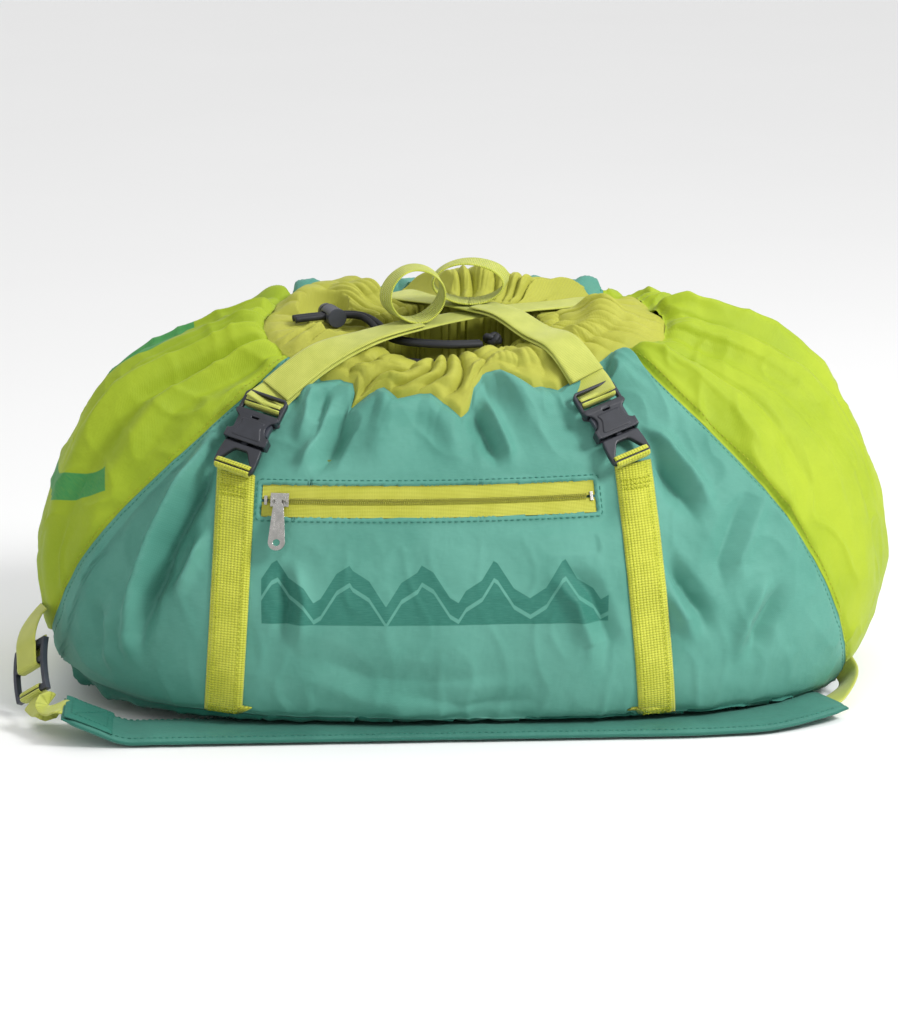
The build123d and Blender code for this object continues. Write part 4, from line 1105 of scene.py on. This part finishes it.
def stitch_parts(line, lift, length=2.7, gap=1.3, radius=0.36, normals=None):
    """Short thread capsules along a line of points, sunk at their ends."""
    line = np.asarray(line, float)
    steps = run_lengths(line)
    count = int(steps[-1] / (length + gap))
    parts = []
    for k in range(count):
        places = (k + 0.5) * (length + gap) + np.array([-0.5, -0.32, 0.0, 0.32, 0.5]) * length
        path = np.stack([np.interp(places, steps, line[:, c]) for c in range(3)], axis=1)
        normal = np.array([np.interp(places[2], steps, normals[:, c]) for c in range(3)])
        path += normal * (np.array([-0.4, 0.1, 0.3, 0.1, -0.4]) * radius + lift)[:, None]
        parts.append(tube_points(path, radius * np.array([0.5, 0.95, 1.05, 0.95, 0.5]), 6))
    return parts


# the front's surface, to lay sewn things on
FRONT_TREE = BVHTree.FromPolygons(
    [Vector(p) for p in front_grid[1].reshape(-1, 3)], grid_faces(*front_grid[1].shape[:2]))


def on_front(x, z):
    """Point and outward normal of the front cloth seen along +Y at x, z."""
    hit, normal, _, _ = FRONT_TREE.ray_cast(Vector((x, -260.0, z)), Vector((0, 1, 0)))
    if hit is None:
        hit, normal, _, _ = FRONT_TREE.find_nearest(Vector((x, -170.0, z)))
    normal = np.array(normal)
    return np.array(hit), normal if normal[1] < 0 else -normal


# ---- lower webbings, sewn down the front -------------------------------------------------------
def lower_webbing(side, top, bottom):
    """Webbing laid on the front from the buckle down to the lower seam."""
    count, half = 130, 12.4
    parts = np.linspace(0, 1, count)
    xs = top[0] + (bottom[0] - top[0]) * parts
    zs = top[1] + (bottom[1] - top[1]) * parts
    step_x, _, step_z = half * unit(np.array([1.0, 0.0, (bottom[0] - top[0]) / (top[1] - bottom[1])]))
    lanes = np.linspace(-1, 1, 9)
    surface = np.zeros((count, 9, 3))
    normals = np.zeros((count, 9, 3))
    for i in range(count):
        for j, lane in enumerate(lanes):
            surface[i, j], normals[i, j] = on_front(xs[i] + lane * step_x, zs[i] + lane * step_z)
    normal = normals.mean(axis=1)
    for _ in range(6):
        normal = softened(normal)
    normal = unit(normal)
    surface = surface + normal[:, None, :]
    for _ in range(3):
        surface[:, 1:-1] = 0.25 * surface[:, :-2] + 0.5 * surface[:, 1:-1] + 0.25 * surface[:, 2:]
    rise = np.array([0.1, 1.0, 1.1, 1.15, 1.15, 1.15, 1.1, 1.0, 0.1]) * 1.4
    upper = surface + rise[None, :, None] * normal[:, None, :]
    lower = surface - 1.2 * normal[:, None, :]
    cloth_x = np.broadcast_to(lanes * half, (count, 9))
    length = run_lengths(surface[:, 4])
    cloth = np.stack([cloth_x, np.broadcast_to(length[:, None], (count, 9)), cloth_x * 0], axis=2)
    ring = np.concatenate([upper, lower[:, ::-1]], axis=1).reshape(-1, 3)
    ring_cloth = np.concatenate([cloth, cloth[:, ::-1]], axis=1).reshape(-1, 3)
    faces = grid_faces(count, 18, wrap=True, flip=True)
    faces += [cap[::-1] for cap in end_caps(count, 18)]
    item = add_object(f"{side}_webbing", ring, faces, YELLOW_WEB, ring_cloth, ring)
    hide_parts(f"{side}_lower_webbing")
    parts_list = []
    for lane in (1, 7):
        parts_list += stitch_parts(upper[:, lane] * 0.85 + upper[:, 4] * 0.15, 0.05, 2.6, 0.9, 0.33, normal)
    for at in (0.055, 0.07, 0.085, 0.955, 0.97):
        k = int(at * count)
        lane_line = np.array([upper[k + (j % 2), 1 + j // 2] for j in range(14)])
        parts_list += stitch_parts(lane_line, 0.12, 2.0, 0.2, 0.4, np.repeat(normal[k:k + 1], 14, axis=0))
    sewn = add_object(f"{side}_webbing_stitches", *joined(parts_list), YELLOW_THREAD)


lower_webbing("left", (-146.0, 170.0), (-157.0, 14.5))
lower_webbing("right", (115.0, 174.0), (130.0, 10.5))


# ---- webbing round the buckles' bars --------------------------------------------------------
def bar_wrap(name, axes, bar, half_thick, body, material, nodes, width=25.0):
    """Webbing wrapped once round a bar, given by the places of its two sides along the axes."""
    origin, across, along, outward = axes
    low, high = bar
    centre = (low + high) / 2
    reach = (high - low) / 2 + 0.95
    rise = half_thick + 0.95
    turns = np.linspace(math.pi * 0.5, math.pi * 2.5, 29)
    line = []
    for turn in turns:
        c, s = math.cos(turn), math.sin(turn)
        y = centre + reach * np.sign(c) * abs(c) ** 0.6
        z = rise * np.sign(s) * abs(s) ** 0.6
        line.append(origin + along * y + outward * z)
    line = np.array(line)[1:]
    item = strip_object(name, line, np.broadcast_to(across, line.shape), width, 1.2, material, body)
    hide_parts(*nodes)


# ---- buckles: moulded halves -----------------------------------------------------------------
def moulded_plate(outline, holes, low, high, edge=0.7):
    """Plate between two heights with rounded edges; outline and holes are closed lists of x and y."""
    curve = bpy.data.curves.new("plate", "CURVE")
    curve.dimensions = "2D"
    curve.fill_mode = "BOTH"
    curve.extrude = (high - low) / 2 - edge
    curve.bevel_depth = edge
    curve.bevel_resolution = 2
    curve.offset = -edge
    for ring in (outline, *holes):
        spline = curve.splines.new("POLY")
        spline.points.add(len(ring) - 1)
        for point, (x, y) in zip(spline.points, ring):
            point.co = (x, y, 0.0, 1.0)
        spline.use_cyclic_u = True
    item = bpy.data.objects.new("plate", curve)
    SCENE.collection.objects.link(item)
    mesh = bpy.data.meshes.new_from_object(item)
    vertices = np.array([v.co for v in mesh.vertices]) + [0.0, 0.0, (low + high) / 2]
    faces = [list(face.vertices) for face in mesh.polygons]
    bpy.data.objects.remove(item)
    return vertices, faces


def rounded(corners, radius, steps=5):
    """Closed outline with every corner rounded by a curve of the given reach."""
    corners = np.array(corners, float)
    line = []
    for before, here, after in zip(np.roll(corners, 1, axis=0), corners, np.roll(corners, -1, axis=0)):
        reach_in = min(radius, np.linalg.norm(before - here) * 0.48)
        reach_out = min(radius, np.linalg.norm(after - here) * 0.48)
        start = here + (before - here) / np.linalg.norm(before - here) * reach_in
        end = here + (after - here) / np.linalg.norm(after - here) * reach_out
        for part in np.linspace(0, 1, steps):
            line.append(tuple((1 - part) ** 2 * start + 2 * part * (1 - part) * here + part ** 2 * end))
    return line


def mirrored(side):
    """Corners of a symmetric outline from its right side, listed from the bottom up."""
    return [*side, *[(-x, y) for x, y in reversed(side)]]


def upright(half_x, low, high, radius):
    """Rounded rectangle between two heights, symmetric about the middle."""
    return rounded([(-half_x, low), (half_x, low), (half_x, high), (-half_x, high)], radius)


def buckle_half(name, side, parts, body, node):
    """One half of a buckle from its moulded plates, in the buckle's own axes."""
    middle, across, along, outward = buckle_frame(side)
    vertices, faces = joined(parts)
    turned = middle + outward * BUCKLE_LIFT + vertices @ np.array([across, along, outward])
    item = add_object(name, turned, faces, BLACK, body=body)
    item.data.polygons.foreach_set("use_smooth", [False] * len(faces))
    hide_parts(node)


def socket_parts():
    """Waisted cover and back, walls between them, and the flat end with its two web slots."""
    skin = rounded(mirrored([
        (5.0, -9.0), (13.6, -9.0), (15.4, -7.6), (15.4, -3.2), (11.4, -1.0), (9.6, 4.0), (11.4, 8.4),
        (15.4, 10.2), (15.4, 12.8), (14.0, 14.0)]), 2.6)
    slots = [upright(13.0, y - 2.2, y + 2.2, 1.2) for y in (16.6, 24.6)]
    release = upright(2.6, 8.6, 11.0, 0.8)
    end = rounded(mirrored([(15.4, 11.4), (15.4, 26.4), (13.0, 28.9)]), 1.6)
    wall = rounded([(13.2, -8.6), (15.4, -8.6), (15.4, -2.4), (13.2, -2.4)], 0.6)
    other_wall = [(-x, y) for x, y in reversed(wall)]
    head = upright(14.6, 9.8, 13.4, 0.8)
    raised = rounded(mirrored([(4.4, -6.4), (10.6, -6.4), (6.6, 3.0), (8.8, 7.0)]), 2.2)
    return [
        moulded_plate(skin, [release], 2.8, 4.3), moulded_plate(skin, [], -4.4, -2.8),
        moulded_plate(raised, [], 3.6, 4.9, 0.5),
        moulded_plate(wall, [], -4.2, 4.2, 0.4), moulded_plate(other_wall, [], -4.2, 4.2, 0.4),
        moulded_plate(head, [], -4.2, 4.2, 0.5), moulded_plate(end, slots, -2.3, 2.3, 0.8)]


def plug_parts():
    """Two spread legs from the shoulders to the web bar, and the tongue between the arms."""
    frame_outline = rounded(mirrored([(12.6, -28.9), (14.4, -27.2), (14.4, -19.0), (13.4, -10.1)]), 1.8)
    between = rounded([(-11.4, -24.8), (11.4, -24.8), (4.6, -14.4), (-4.6, -14.4)], 2.0)
    tongue = upright(2.0, -11.0, 8.6, 0.9)
    frame_plate = moulded_plate(frame_outline, [between], -2.2, 2.2, 0.9)
    return [frame_plate, moulded_plate(tongue, [], -1.7, 1.7, 0.5)]


for side_name in BUCKLES:
    socket = f"{side_name}_socket"
    buckle_half(f"{side_name}_buckle_cover", side_name, socket_parts(), socket, f"{side_name}_buckle_socket")
    buckle_half(f"{side_name}_buckle_legs", side_name, plug_parts(), "bag", f"{side_name}_buckle_plug")

for side_name in BUCKLES:
    middle, *directions = buckle_frame(side_name)
    axes = (middle + directions[2] * BUCKLE_LIFT, *directions)
    bar_wrap(f"{side_name}_plug_webbing", axes, (-29.0, -24.8), 2.2, "bag", YELLOW_WEB,
             [f"{side_name}_plug_web_loop"])
    bar_wrap(f"{side_name}_socket_webbing", axes, (18.8, 22.4), 2.3, f"{side_name}_socket", OLIVE_WEB,
             [f"{side_name}_socket_web_loop"])


# ---- upper straps and their tails --------------------------------------------------------------
def strap_lines(rows, count, lift=0.0):
    """Smooth centre line and across directions of a strap through its stations."""
    data = np.array(rows, float)
    line = smooth_line(data, count, 3)
    points, roll = line[:, :3].copy(), np.radians(line[:, 3])
    points[:, 2] += lift
    run = unit(np.gradient(points, axis=0))
    flat = unit(np.cross(run, [0.0, 0.0, 1.0]))
    other = np.cross(run, flat)
    across = flat * np.cos(roll)[:, None] + other * np.sin(roll)[:, None]
    return points, across


for side_name, rows in UPPER_STRAPS.items():
    middle, _, buckle_along, buckle_out = buckle_frame(side_name)
    on_bar = middle + buckle_along * 20.0 + buckle_out * (BUCKLE_LIFT + 3.9)
    points, across = strap_lines([(*on_bar, rows[0][3]), *rows], 160)
    strap = strip_object(f"{side_name}_strap", points, across, 25.0, 1.6, OLIVE_WEB, None)
    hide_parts(f"{side_name}_upper_strap")
    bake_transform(strap)
    tail_rows = rows[:TAIL_STATIONS[side_name]]
    points, across = strap_lines(tail_rows, 70, TAIL_LIFT)
    x, y, z, half_x, half_z, turn = TAIL_LOOPS[side_name]
    heading = np.array([math.cos(math.radians(turn)), math.sin(math.radians(turn)), 0.0])
    crosswise = np.array([-heading[1], heading[0], 0.0])
    angles = np.linspace(-math.pi * 0.5, math.pi * 1.5, 97)
    if side_name == "right":
        angles = -math.pi - angles
    swell = 1 + 0.05 * np.sin(2 * angles + 0.6)
    loop = np.array([x, y, z]) + (np.cos(angles) * (half_x - 0.8) * swell)[:, None] * heading
    loop[:, 2] += np.sin(angles) * (half_z - 0.8)
    lean_out = 0.12 * (loop[:, 2] - z + half_z)
    loop += lean_out[:, None] * crosswise * (-0.35 if side_name == "left" else 0.2)
    tail = strip_object(f"{side_name}_tail", points, across, 24.0, 1.6, OLIVE_WEB, None)
    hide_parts(f"{side_name}_strap_tail")
    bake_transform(tail)
    twist = 0.16 * np.sin(angles + 0.5)[:, None]
    loop_across = crosswise + twist * heading
    strip_object(f"{side_name}_tail_loop", loop, loop_across, 23.0, 1.6, LOOP_WEB)


# ---- drawcord strands, knot and lock ------------------------------------------------------------
def beside(route, shift):
    """The route's points moved sideways in plan, to the left of its heading."""
    points = np.array(route, float)
    run = np.zeros_like(points)
    run[1:-1] = points[2:] - points[:-2]
    run[0], run[-1] = points[1] - points[0], points[-1] - points[-2]
    side = np.stack([-run[:, 1], run[:, 0], np.zeros(len(run))], axis=1)
    return points + side / np.linalg.norm(side, axis=1, keepdims=True) * shift


def spline_points(route):
    """Points read from the route's own smooth NURBS line."""
    curve = bpy.data.curves.new("route", "CURVE")
    curve.dimensions = "3D"
    curve.resolution_u = 16
    spline = curve.splines.new("NURBS")
    spline.points.add(len(route) - 1)
    for point, values in zip(spline.points, route):
        point.co = (*(values * MM), 1.0)
    spline.order_u = 3
    spline.use_endpoint_u = True
    item = bpy.data.objects.new("route", curve)
    SCENE.collection.objects.link(item)
    mesh = bpy.data.meshes.new_from_object(item)
    points = np.array([v.co for v in mesh.vertices]) / MM
    bpy.data.objects.remove(item)
    return points


def braid(angles, passed):
    """Cross section of a braided cord."""
    return 1 + 0.05 * np.sin(4 * angles + passed * 1.9) * np.sin(4 * angles - passed * 1.9)


def knot_mesh():
    """Overhand knot pulled tight, with two short ends."""
    turn = np.linspace(0, 2 * math.pi, 140)
    path = np.stack([
        (np.sin(turn) + 2 * np.sin(2 * turn)) * 1.75,
        (np.cos(turn) - 2 * np.cos(2 * turn)) * 1.35,
        -np.sin(3 * turn) * 2.1], axis=1)
    c, s = math.cos(KNOT_TURN), math.sin(KNOT_TURN)
    path = path @ np.array([[c, s, 0], [-s, c, 0], [0, 0, 1]])
    return tube_points(path + np.array(KNOT_AT), 2.15, 14, braid)


knot = add_object("drawcord_end_knot", *knot_mesh(), CORD_BLACK)
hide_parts("drawcord_knot")
for name, shift in (("rear", 0.5), ("front", -0.5)):
    route = spline_points(beside(STRAND, shift * STRAND_SPACING))
    vertices, faces = tube_points(smooth_line(route, 170, 0), CORD_D / 2, 16, braid)
    strand = add_object(f"cord_strand_{name}", vertices, faces, CORD_BLACK)
    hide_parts(f"drawcord_strand_{name}")


# ---- zip --------------------------------------------------------------------------------------
def zip_strip(name, low, high, level, thick, material, nodes, cells=260):
    """Tape along the zip's arc, between two heights in the zip's frame."""
    along = np.linspace(-ZIP_HALF, ZIP_HALF, cells)
    rows = np.linspace(low, high, 6)
    grid_along, grid_up = np.meshgrid(along, rows)
    ripple = 0.12 * np.sin(grid_along / 9.0) * np.sin(grid_up * 1.1)
    points = zip_point(grid_along, grid_up, level + ripple)
    cloth = np.stack([grid_along, grid_up, grid_up * 0], axis=2)
    item = shell_object(name, points, points, material, thick, cloth=cloth)
    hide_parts(*nodes)


def coil_row(side):
    """One row of the zip's coil, a small bent loop for every tooth."""
    parts = []
    pitch = 1.25
    count = int((2 * ZIP_HALF - 9) / pitch)
    for k in range(count):
        along = -ZIP_HALF + 4.5 + (k + (0.5 if side > 0 else 0.0)) * pitch
        turn = np.linspace(0, 2 * math.pi, 9)[:-1]
        up = side * (0.95 + 0.95 * np.cos(turn))
        out = -0.55 + 0.85 * np.sin(turn)
        lean = 0.3 * np.sin(turn)
        path = zip_point(along + lean, up, out)
        path = np.concatenate([path, path[:1]])
        parts.append(tube_points(path, 0.34, 5))
    return joined(parts)


zip_strip("zip_tape_top", 1.0, 10.8, -0.7, 0.9, TAPE, ["zip_tape_upper"])
zip_strip("zip_tape_bottom", -10.8, -1.0, -0.7, 0.9, TAPE, ["zip_tape_lower"])
for row_name, side in (("upper", 1), ("lower", -1)):
    teeth = add_object(f"zip_coil_{row_name}", *coil_row(side), COIL)
    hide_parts(f"zip_teeth_{row_name}")


def window_line(margin, step=1.5):
    """Closed line round the zip's window at a margin, with rounded corners."""
    corner = 3.0
    inset_x, inset_y = ZIP_HALF + margin - corner, ZIP_WINDOW / 2 + margin - corner
    points = []
    for side_x, side_y, start in ((1, 1, 0), (-1, 1, 90), (-1, -1, 180), (1, -1, 270)):
        for turn in np.radians(np.linspace(start, start + 90, 6)):
            x, y = side_x * inset_x, side_y * inset_y
            points.append((x + corner * math.cos(turn), y + corner * math.sin(turn)))
    points = np.array(points + points[:1])
    steps = run_lengths(points)
    wanted = np.linspace(0, steps[-1], int(steps[-1] / step))
    return np.stack([np.interp(wanted, steps, points[:, c]) for c in (0, 1)], axis=1)


def sewn_line(name, plan, material, length=2.6, gap=1.5, radius=0.4):
    """Stitches laid on the front cloth along zip coordinates."""
    start = zip_point(plan[:, 0], plan[:, 1], np.full(len(plan), 14.0))
    toward = zip_point(plan[:, 0], plan[:, 1], np.full(len(plan), -6.0)) - start
    places, normals = [], []
    for point, way in zip(start, toward):
        hit, normal, _, _ = FRONT_TREE.ray_cast(Vector(point), Vector(way))
        if hit is None:
            continue
        normal = np.array(normal)
        places.append(np.array(hit))
        normals.append(normal if normal[1] < 0 else -normal)
    parts = stitch_parts(np.array(places), 0.12, length, gap, radius, np.array(normals))
    item = add_object(name, *joined(parts), material)


sewn_line("zip_window_stitches", window_line(3.4), TEAL_THREAD)


# ---- seams: topstitching beside them ------------------------------------------------------------
def seam_stitches(name, grid, column, material, length=2.4, gap=1.4, radius=0.3):
    """Stitches along one column of a panel's grid."""
    points = grid[1]
    line, normal = points[:, column], grid_normals(points)[:, column]
    outward = line - np.array([6.0, 0.0, 100.0])
    normal = np.where(np.sum(normal * outward, axis=1, keepdims=True) < 0, -normal, normal)
    item = add_object(name, *joined(stitch_parts(line, 0.05, length, gap, radius, normal)), material)


for name, grid in (("front", front_grid), ("back", back_grid)):
    for edge_name, column in (("left", 2), ("right", -3)):
        seam_stitches(f"{name}_{edge_name}_seam_stitches", grid, column, TEAL_THREAD)
for name, grid in (("left", left_grid), ("right", right_grid)):
    for edge_name, column in (("front", 2), ("back", -3)):
        seam_stitches(f"{name}_gusset_{edge_name}_stitches", grid, column, YELLOW_THREAD)


# ---- shoulder strap ---------------------------------------------------------------------------
PAD_WIDTH, PAD_THICK = 45.0, 7.0
PAD_TIP = (-262.0, -151.5, 17.0)
PAD_BEND = (-222.0, -151.5, 0.0)
# middle of the pad's underside, from the raised left end to the right end
PAD_DENSE = [
    PAD_TIP, (-242.0, -151.5, 8.5), (-222.0, -151.5, 0.4), (-200.0, -151.5, 0.0), (-110.0, -151.5, 0.0),
    (0.0, -151.5, 0.0), (90.0, -151.5, 0.0), (140.0, -151.3, 0.0), (175.0, -149.5, 0.2),
    (205.0, -144.5, 1.0), (250.0, -122.0, 5.0)]


def pad_grid():
    """Cross sections of the stuffed strap, fuller in the middle and drawn in at the sewn edges."""
    middle = smooth_line(PAD_DENSE, 420, 6)
    run = unit(np.gradient(middle, axis=0))
    across = unit(np.cross([0.0, 0.0, 1.0], run))
    up = np.cross(run, across)
    turn = np.linspace(0, 2 * math.pi, 56, endpoint=False)
    c, s = np.cos(turn), np.sin(turn)
    length = run_lengths(middle)
    rings, cloth = [], []
    for k in range(len(middle)):
        end = np.array(min(length[k], length[-1] - length[k]))
        tight = 0.5 + 0.5 * smooth_step(end, 0, 9)
        taper = 1.0 - 0.08 * (1 - smooth_step(end, 0, 14))
        y = PAD_WIDTH / 2 * taper * np.sign(c) * np.abs(c) ** 0.42
        crown = 0.80 + 0.20 * np.sqrt(np.abs(np.cos(y / PAD_WIDTH * math.pi)))
        z = PAD_THICK / 2 * tight * np.sign(s) * np.abs(s) ** 0.75 * crown
        z = z - 0.5 * np.exp(-((np.abs(y) - PAD_WIDTH / 2 + 6.0) / 1.3) ** 2) * np.sign(s)
        place_here = np.stack([np.full(len(turn), length[k]), y, z], axis=1)
        pucker = 0.45 * lumps(place_here * np.array([1.0, 0.4, 1.0]), 13.0, 21)
        pucker += 0.6 * lumps(place_here, 40.0, 22)
        y = y + np.sign(y) * np.minimum(pucker, 0.6) * 0.8
        z = z + np.where(z > 0, pucker * 0.7, 0)
        rings.append(middle[k] + [0, 0, PAD_THICK / 2] + y[:, None] * across[k] + z[:, None] * up[k])
        cloth.append(np.stack([np.full(len(turn), length[k]), y, np.zeros(len(turn))], axis=1))
    rings = np.array(rings)
    rings[..., 2] = np.clip(rings[..., 2], 0.2, None)
    return rings, np.array(cloth)


pad_rings, pad_cloth = pad_grid()
pad_size = pad_rings.shape[:2]
pad_corners = pad_rings.reshape(-1, 3)
pad = add_object("shoulder_strap_padding", pad_corners, grid_faces(*pad_size, wrap=True) + end_caps(*pad_size),
                 PLAIN_TEAL, pad_cloth.reshape(-1, 3), pad_corners, body="shoulder_strap")
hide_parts("shoulder_pad_cover", "shoulder_pad_foam")


def pad_seam(column, name):
    """Piping along one long edge of the pad."""
    line = smooth_line(pad_rings[:, column], 300, 4)
    item = add_object(name, *tube_points(line, 0.8, 8), DARK_TEAL, body="shoulder_strap")


def pad_stitches(name, column):
    """A sewn line along the pad's top."""
    line = smooth_line(pad_rings[6:-6, column], 300, 6)
    normal = np.broadcast_to(np.array([0.0, 0.0, 1.0]), line.shape)
    parts = stitch_parts(line, 0.1, 2.6, 1.5, 0.33, normal)
    item = add_object(name, *joined(parts), TEAL_THREAD, body="shoulder_strap")


pad_seam(28, "pad_front_piping")
pad_seam(0, "pad_rear_piping")
pad_stitches("pad_front_stitches", 21)
pad_stitches("pad_rear_stitches", 7)


def end_patch():
    """Reinforcing patch over the pad's raised left end, sewn round its edge and across."""
    tip, bend = np.array(PAD_TIP), np.array(PAD_BEND)
    down = unit(bend - tip)
    above = np.cross(down, [0.0, 1.0, 0.0])
    along, wide = np.meshgrid(np.linspace(0.8, 34.5, 40), np.linspace(-21.0, 21.0, 46))
    near = np.minimum(21.0 - np.abs(wide), np.minimum(along - 0.8, 34.5 - along))
    rise = PAD_THICK / 2 + 1.1 - 1.7 * np.exp(-near / 1.8)
    rise = rise + 0.5 * lumps(np.stack([along, wide, rise * 0], axis=2), 14.0, 31)
    start = tip + np.array([0.0, 0.0, PAD_THICK / 2])
    points = start + along[..., None] * down + rise[..., None] * above
    points[..., 1] += wide
    item = shell_object("shoulder_pad_patch", points, points, DARK_TEAL, 0.9, body="shoulder_strap")
    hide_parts("shoulder_pad_end_patch")
    corners = [(5, 6), (5, 40), (34, 40), (34, 6), (5, 6), (34, 40)]
    parts = []
    for (a, b), (c, d) in zip(corners[:-1], corners[1:]):
        steps = np.linspace(0, 1, 24)
        columns = np.round(a + (c - a) * steps).astype(int)
        rows = np.round(b + (d - b) * steps).astype(int)
        line = smooth_line(points[rows, columns], 24, 2)
        parts += stitch_parts(line, 0.15, 2.3, 1.1, 0.36, np.broadcast_to(above, line.shape))
    sewn = add_object("pad_patch_stitches", *joined(parts), TEAL_THREAD, body="shoulder_strap")


end_patch()

# ladder lock's frame and the webbings through it
LADDER_AT = ((-286.0, -98.0, 31.0), (-0.05, 0.68, 0.73), (-0.75, -0.48, 0.45))
LADDER_LENGTH, LADDER_RADIUS, LADDER_BAR, LADDER_MIDDLE, LADDER_THICK = 38.0, 90.0, 4.0, 3.0, 4.0
GUSSET_ANCHOR = np.array([-284.0, -62.0, 58.0])
TAB_ANCHOR = np.array([268.0, -88.0, 15.0])
END_WEB_WIDTH = 20.0
origin, along, outward = (np.array(v, float) for v in LADDER_AT)
along = unit(along)
outward = unit(outward - along * (outward @ along))
ladder_across = np.cross(along, outward)


def ladder_drop(y):
    """How far the curved lock falls below its middle."""
    return math.sqrt(LADDER_RADIUS ** 2 - y ** 2) - LADDER_RADIUS


def ladder_point(y, z):
    """Place in the middle of the lock's width, along it and out of it."""
    return origin + along * y + outward * z


end_y = -LADDER_LENGTH / 2
end_bar = (end_y, end_y + LADDER_BAR)
end_axes = (origin + outward * ladder_drop(end_y + LADDER_BAR / 2), ladder_across, along, outward)
bar_wrap("strap_end_loop", end_axes, end_bar, LADDER_THICK / 2 + 0.4, "shoulder_strap", OLIVE_WEB,
         [], END_WEB_WIDTH)
pad_end = np.array([-262.5, -151.5, 20.5])
foot = ladder_point(end_y - 1.6, ladder_drop(end_y))
toward = pad_end - foot
end_stations = [
    foot, foot + 0.33 * toward + [-2.0, 0, -1.5], foot + 0.7 * toward + [-2.5, 0, -0.5],
    pad_end, pad_end + [4.0, 0, -1.8]]
route = smooth_line(end_stations, 60, 6)
mix = np.linspace(0, 1, 60)[:, None]
pad_across = np.array([-0.2, 0.95, 0.1])
pad_across = pad_across * np.sign(ladder_across @ pad_across)
direction = ladder_across * (1 - mix) + pad_across * mix
end_web = strip_object("strap_end_web", route, direction, END_WEB_WIDTH, 1.6, OLIVE_WEB, "shoulder_strap")
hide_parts("strap_end_webbing")

drop = ladder_drop(LADDER_MIDDLE)
reach_y, reach_z = LADDER_BAR / 2 + 0.95, LADDER_THICK / 2 + 1.1
around = []
for turn in np.linspace(math.pi * 0.5, -math.pi * 0.5, 17):
    c, s = math.cos(turn), math.sin(turn)
    rise = drop + reach_z * np.sign(s) * abs(s) ** 0.6
    around.append(ladder_point(LADDER_MIDDLE - reach_y * abs(c) ** 0.6, rise))
head = ladder_point(LADDER_LENGTH / 2 + 2.0, 3.0)
halfway = 0.5 * (GUSSET_ANCHOR + head) + np.array([-1.0, 0, 0.6])
over = [GUSSET_ANCHOR + np.array([6.0, 3.0, 6.0]), GUSSET_ANCHOR, halfway, head, ladder_point(13.0, 3.0)]
under = [ladder_point(y, ladder_drop(y) - below) for y, below in ((9, 3.2), (17, 3.4), (24, 3.6))]
line = smooth_line(np.array(over + around + under), 190, 3)
level = np.broadcast_to(ladder_across, line.shape)
web = strip_object("gusset_adjuster_web", line, level, END_WEB_WIDTH, 1.5, OLIVE_WEB, None)
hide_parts("gusset_webbing", "gusset_web_loop")
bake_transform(web)

tab_from = np.array([251.4, -121.3, 8.5])
tab_stations = [
    tab_from - [8, 4, 0.5], tab_from, 0.5 * (tab_from + TAB_ANCHOR) + [3, 0, 0.5],
    TAB_ANCHOR, TAB_ANCHOR + [-3, 6, 5]]
tab_line = smooth_line(tab_stations, 50, 3)
mix = np.linspace(0, 1, 50)[:, None]
direction = np.array([-0.43, 0.9, 0]) * (1 - mix) + np.array([-0.5, 0.3, -0.8]) * mix
tab = strip_object("right_strap_web", tab_line, direction, END_WEB_WIDTH, 1.6, OLIVE_WEB, None)
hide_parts("right_strap_tab")
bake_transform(tab)

# ---- finishes of the carried-over hard pieces ----------------------------------------------------
FINISH = {
    BLACK: ["left_buckle_inner_arm", "left_buckle_outer_arm",
            "right_buckle_inner_arm", "right_buckle_outer_arm",
            "ladder_lock", "cord_lock_body", "cord_lock_button"],
    NICKEL: ["zip_slider", "zip_puller", "zip_end_stops"],
    STEEL: ["cord_lock_spring"],
    LINING: ["pocket_lining"],
}
for material, names in FINISH.items():
    for node in names:
        NODES[node].data.materials.clear()
        NODES[node].data.materials.append(material)


# ---- floor ------------------------------------------------------------------------------------
def floor():
    """Large pale floor."""
    xs = np.linspace(-14, 14, 15)
    vertices = [(x * 1000, y * 1000, 0) for y in xs for x in xs]
    n = Nodes("floor")
    place_out = n.add("ShaderNodeTexCoord").outputs["Object"]
    pale = n.mix(n.noise(place_out, 3.0), (0.88, 0.88, 0.88, 1), (0.9, 0.9, 0.9, 1))
    n.link(pale, n.shader.inputs["Base Color"])
    n.shader.inputs["Roughness"].default_value = 0.9
    item = add_object("floor", vertices, grid_faces(len(xs), len(xs)), n.material, body=None)


floor()
